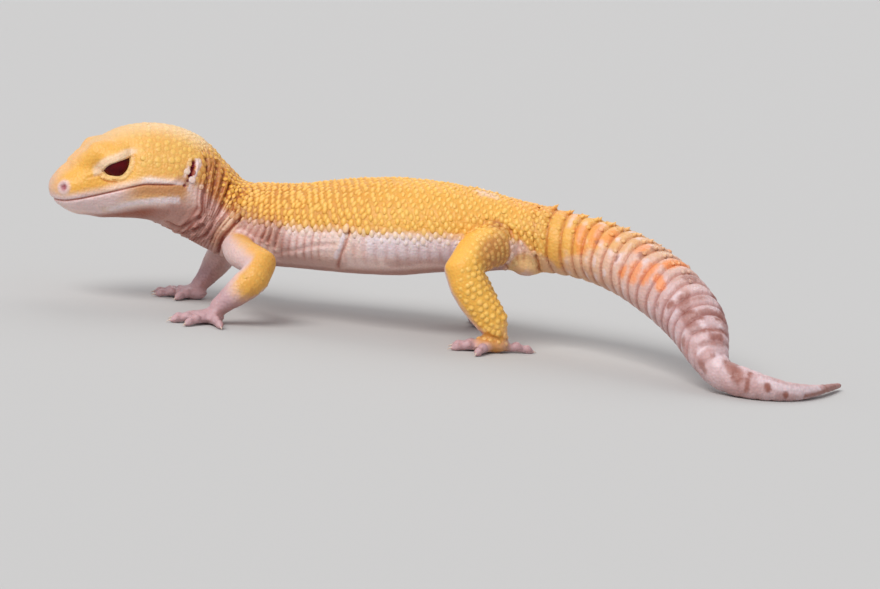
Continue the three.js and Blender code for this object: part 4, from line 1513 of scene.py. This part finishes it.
def make_eye(name, eye):
    """A ball with a bulging front, which faces out of the head."""
    bm = bmesh.new()
    bmesh.ops.create_uvsphere(bm, u_segments=64, v_segments=40, radius=EYE_RADIUS)
    for v in bm.verts:
        front = max(0.0, v.co.normalized().dot(Vector(eye["out"])))
        v.co *= 1 + BULGE * front**6
    bmesh.ops.translate(bm, vec=Vector(eye["centre"]), verts=bm.verts)
    shade_smooth(bm)
    return as_object(name, to_mesh(bm, name))


eyeballs = {name: make_eye("wet_" + name, eye) for name, eye in EYES.items()}
print(len(eyeballs), "eyes, each", 2 * EYE_RADIUS, "mm wide")

# %% Claws
CLAW_LENGTH, CLAW_FOOT, CLAW_POINT = 1.7, 0.34, 0.05  # length, and radii at both ends
CLAW_HEIGHT, CLAW_SINK, CLAW_BEND = 0.75, 0.4, 0.5  # over the floor, into the toe, down at the point


def make_claws(name, limb):
    """A curved cone at the end of each toe."""
    bm = bmesh.new()
    for heading, reach in zip(limb["headings"], limb["reaches"]):
        out = reach - CLAW_SINK
        tip = limb["palm"] + (math.cos(heading) * out, math.sin(heading) * out, CLAW_HEIGHT)
        claw = bmesh.new()
        sizes = {"radius1": CLAW_FOOT, "radius2": CLAW_POINT, "depth": CLAW_LENGTH}
        bmesh.ops.create_cone(claw, cap_ends=True, segments=8, **sizes)
        sides = [edge for edge in claw.edges if abs(edge.verts[0].co.z - edge.verts[1].co.z) > 1]
        bmesh.ops.subdivide_edges(claw, edges=sides, cuts=3)
        for v in claw.verts:
            v.co.x += CLAW_BEND * (v.co.z / CLAW_LENGTH + 0.5) ** 2
        turned = Matrix.Rotation(heading, 4, "Z") @ Matrix.Rotation(math.pi / 2, 4, "Y")
        bmesh.ops.transform(claw, matrix=Matrix.Translation(Vector(tip)) @ turned, verts=claw.verts)
        part = bpy.data.meshes.new("claw")
        claw.to_mesh(part)
        claw.free()
        bm.from_mesh(part)
        bpy.data.meshes.remove(part)
    shade_smooth(bm)
    place_points(bm, coordinates(bm))
    return as_object(name, to_mesh(bm, name))


claws = [make_claws("claws_" + name, limb) for name, limb in LIMBS.items()]
print(len(claws), "sets of claws")

# %% [markdown]
# ## Colours and finish
#
# One node group turns the eleven masks into a colour, a roughness and a height. Pigment, blood and chalk are
# laid over each other as they are in the skin, together with painted shade in folds, between the scales and
# under the body, and painted light on the scales' tips, the crown and the flank; noise breaks every area up,
# and a fine cell pattern gives the granules between the raised scales.

# %% Helpers for nodes
def linear(red, green, blue):
    """A screen colour, 0 to 255, as the numbers that a shader takes."""
    parts = np.array((red, green, blue)) / 255
    return (*np.where(parts < 0.04045, parts / 12.92, ((parts + 0.055) / 1.055) ** 2.4), 1)


class Nodes:
    """Short calls for making and linking nodes of one tree."""

    def __init__(self, tree):
        self.tree = tree

    def give(self, node, inputs):
        """Gives each named input a value or another node's output."""
        for name, value in inputs.items():
            if isinstance(value, bpy.types.NodeSocket):
                self.tree.links.new(value, node.inputs[name])
            else:
                node.inputs[name].default_value = value

    def add(self, kind, inputs=None, **settings):
        """A new node."""
        made = self.tree.nodes.new(kind)
        for name, value in settings.items():
            setattr(made, name, value)
        self.give(made, inputs or {})
        return made

    def times(self, a, b, plus=0.0):
        """a times b, plus a third value."""
        return self.add("ShaderNodeMath", {0: a, 1: b, 2: plus}, operation="MULTIPLY_ADD").outputs[0]

    def mix(self, share, below, over, kind="MIX"):
        """Two colours, one over the other."""
        made = self.add("ShaderNodeMix", {0: share, 6: below, 7: over}, data_type="RGBA", blend_type=kind)
        return made.outputs[2]

    def where(self):
        """The place on the object."""
        return self.add("ShaderNodeTexCoord").outputs["Object"]

    def noise(self, scale, detail):
        """Soft noise between 0 and 1."""
        values = {"Vector": self.where(), "Scale": scale, "Detail": detail, "Roughness": 0.6}
        return self.add("ShaderNodeTexNoise", values).outputs["Fac"]


def start_material(name):
    """A new material, short calls for its nodes, and its shader."""
    material = bpy.data.materials.new(name)
    material.use_nodes = True
    return material, Nodes(material.node_tree), material.node_tree.nodes["Principled BSDF"]


print("orange as a shader takes it:", np.round(linear(242, 174, 66), 3))

# %% The markings as a node group
MASKS = ["orange", "cream", "white_and_painted_light", "pink", "blush_and_shade", "vivid", "brown", "wine", "fold_shade", "valley_and_shade", "tip"]
LAVENDER = linear(234, 203, 204)
ROSE = linear(252, 220, 200)
ORANGE = linear(242, 174, 66)
GOLD = linear(248, 192, 84)
# darker granules between the raised scales, deepened with painted shade
VALLEY_AND_SHADE = linear(196, 122, 46)
LAYERS = {  # mask: the colour that it lays over those before it
    "cream": linear(238, 200, 142),
    "pink": linear(188, 150, 153),
    # blood flush, also used as painted shade under the body
    "blush_and_shade": linear(158, 88, 64),
    # chalk white, also used as painted light on the flank
    "white_and_painted_light": linear(238, 220, 224),
    "vivid": linear(238, 138, 58),
    "brown": linear(150, 92, 78),
}
WINE = linear(150, 34, 62)
# pale tips of the scales, lightened further as a painted highlight
GOLD_TIP_AND_HIGHLIGHT = linear(255, 208, 124)
PALE_TIP_AND_HIGHLIGHT = linear(246, 212, 188)
# painted shade for folds, creases, wrinkles, ring grooves, the mouth and the lids' creases
SHADE = linear(206, 144, 128)  # the skin's colour is multiplied by this in a fold

markings = bpy.data.node_groups.new("gecko_markings", "ShaderNodeTree")
for mask in MASKS:
    markings.interface.new_socket(mask, in_out="INPUT", socket_type="NodeSocketFloat")
for name, kind in {"Color": "Color", "Roughness": "Float", "Height": "Float"}.items():
    markings.interface.new_socket(name, in_out="OUTPUT", socket_type="NodeSocket" + kind)
make = Nodes(markings)
given = make.add("NodeGroupInput").outputs
patchy = make.noise(160, 4)
granules = make.add("ShaderNodeTexVoronoi", {"Vector": make.where(), "Scale": 1500, "Randomness": 0.8})

colour = make.mix(given["orange"], make.mix(patchy, LAVENDER, ROSE), make.mix(patchy, ORANGE, GOLD))
# darker granules and painted shade between the raised scales
colour = make.mix(make.times(given["valley_and_shade"], 0.8), colour, VALLEY_AND_SHADE)
# laid over in turn: cream, pink, blood with painted shade, white with painted light, vivid orange, brown
for mask, over in LAYERS.items():
    colour = make.mix(given[mask], colour, over)
# scale tips: a paler tone with a painted highlight
tip_and_highlight_colour = make.mix(given["orange"], PALE_TIP_AND_HIGHLIGHT, GOLD_TIP_AND_HIGHLIGHT)
colour = make.mix(make.times(given["tip"], 0.4), colour, tip_and_highlight_colour)
colour = make.mix(given["wine"], colour, WINE)
# painted shade: the colour is darkened in folds
colour = make.mix(given["fold_shade"], colour, SHADE, "MULTIPLY")
grain = make.times(make.noise(900, 2), 0.25, 0.87)
grey = make.add("ShaderNodeCombineColor", {0: grain, 1: grain, 2: grain}).outputs[0]
colour = make.mix(1.0, colour, grey, "MULTIPLY")
rough = make.times(patchy, 0.2, 0.36)
make.add("NodeGroupOutput", {"Color": colour, "Roughness": rough, "Height": granules.outputs["Distance"]})
print("markings group with", len(markings.nodes), "nodes")


# %% Materials
def skin_material(name, bump_depth):
    """A finish that reads the masks. Bump depth is in millimetres."""
    material, make, shader = start_material(name)
    masks = {mask: make.add("ShaderNodeAttribute", attribute_name=mask).outputs["Fac"] for mask in MASKS}
    group = make.add("ShaderNodeGroup", masks, node_tree=markings)
    bump = make.add("ShaderNodeBump", {"Height": group.outputs["Height"], "Distance": bump_depth * MM})
    values = {
        "Base Color": group.outputs["Color"],
        "Roughness": group.outputs["Roughness"],
        "Normal": bump.outputs[0],
        "Subsurface Weight": 0.15,
        "Subsurface Radius": (1.0, 0.4, 0.25),
        "Subsurface Scale": 1.2 * MM,
        "Specular IOR Level": 0.45,
    }
    make.give(shader, values)
    return material


def cloudy_material(name, scale, detail, dark, light, roughness, specular=0.5):
    """Two colours with a soft change between them."""
    material, make, shader = start_material(name)
    colour = make.mix(make.noise(scale, detail), dark, light)
    make.give(shader, {"Base Color": colour, "Roughness": roughness, "Specular IOR Level": specular})
    return material


skin_finish = skin_material("gecko_skin", 0.12)
scale_finish = skin_material("gecko_scales", 0.05)
wet_finish = cloudy_material("wet_eye", 500, 3, linear(40, 0, 4), linear(112, 4, 14), 0.1, 0.15)
horn_finish = cloudy_material("claw_horn", 1200, 2, linear(226, 206, 190), linear(196, 166, 146), 0.3)
coat = [scales_head, scales_trunk, scales_tail, scales_limbs]
finishes = [skin_finish, scale_finish, wet_finish, horn_finish]
for finish, pieces in zip(finishes, ([skin], coat, eyeballs.values(), claws)):
    for piece in pieces:
        piece.data.materials.append(finish)
print(len(bpy.data.materials), "materials")

# %% [markdown]
# ## Floor, light and world
#
# The model stands on a pale floor. One large soft sun stands high in front on the left, a weak one behind
# lifts the far side, and a plain grey sky fills the shadows, as in a studio.

# %% Floor and lights
FLOOR_SIZE = 12  # metres

bm = bmesh.new()
bmesh.ops.create_grid(bm, x_segments=1, y_segments=1, size=FLOOR_SIZE / 2)
floor_mesh = bpy.data.meshes.new("floor")
bm.to_mesh(floor_mesh)
bm.free()
floor = as_object("floor", floor_mesh)
floor_finish, make, shader = start_material("pale_floor")
make.give(shader, {"Base Color": linear(192, 190, 187), "Roughness": 0.9, "Specular IOR Level": 0.2})
floor_mesh.materials.append(floor_finish)


def soft_sun(name, comes_from, power, spread):
    """A sun whose edge is spread over some degrees, so that its shadows are soft."""
    lamp = bpy.data.lights.new(name, "SUN")
    lamp.energy = power
    lamp.angle = math.radians(spread)
    made = as_object(name, lamp)
    made.rotation_euler = Vector(comes_from).to_track_quat("Z", "Y").to_euler()


soft_sun("key_sun", (-0.45, -0.7, 0.9), 2.3, 35)
soft_sun("back_sun", (0.2, 0.9, 0.9), 0.65, 45)
world = bpy.data.worlds.new("studio")
world.use_nodes = True
sky = {"Color": (0.9, 0.93, 1.0, 1), "Strength": 0.55}
Nodes(world.node_tree).give(world.node_tree.nodes["Background"], sky)
bpy.context.scene.world = world
bpy.context.scene.view_settings.view_transform = "Standard"

# %% [markdown]
# ## Fitting the pieces to the solid model
#
# The skin stands for all pieces of flesh and the eyes for theirs. Everything rides on the one still body.

# %% Hand over
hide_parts(*flesh)
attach(skin, "root")
for name, piece in eyeballs.items():
    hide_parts(name)
    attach(piece, "root")
for piece, slot in zip(coat, ("back_skin", "back_skin", "tail_skin", "back_skin")):
    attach(piece, "root")
for piece in claws:
    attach(piece, "root")
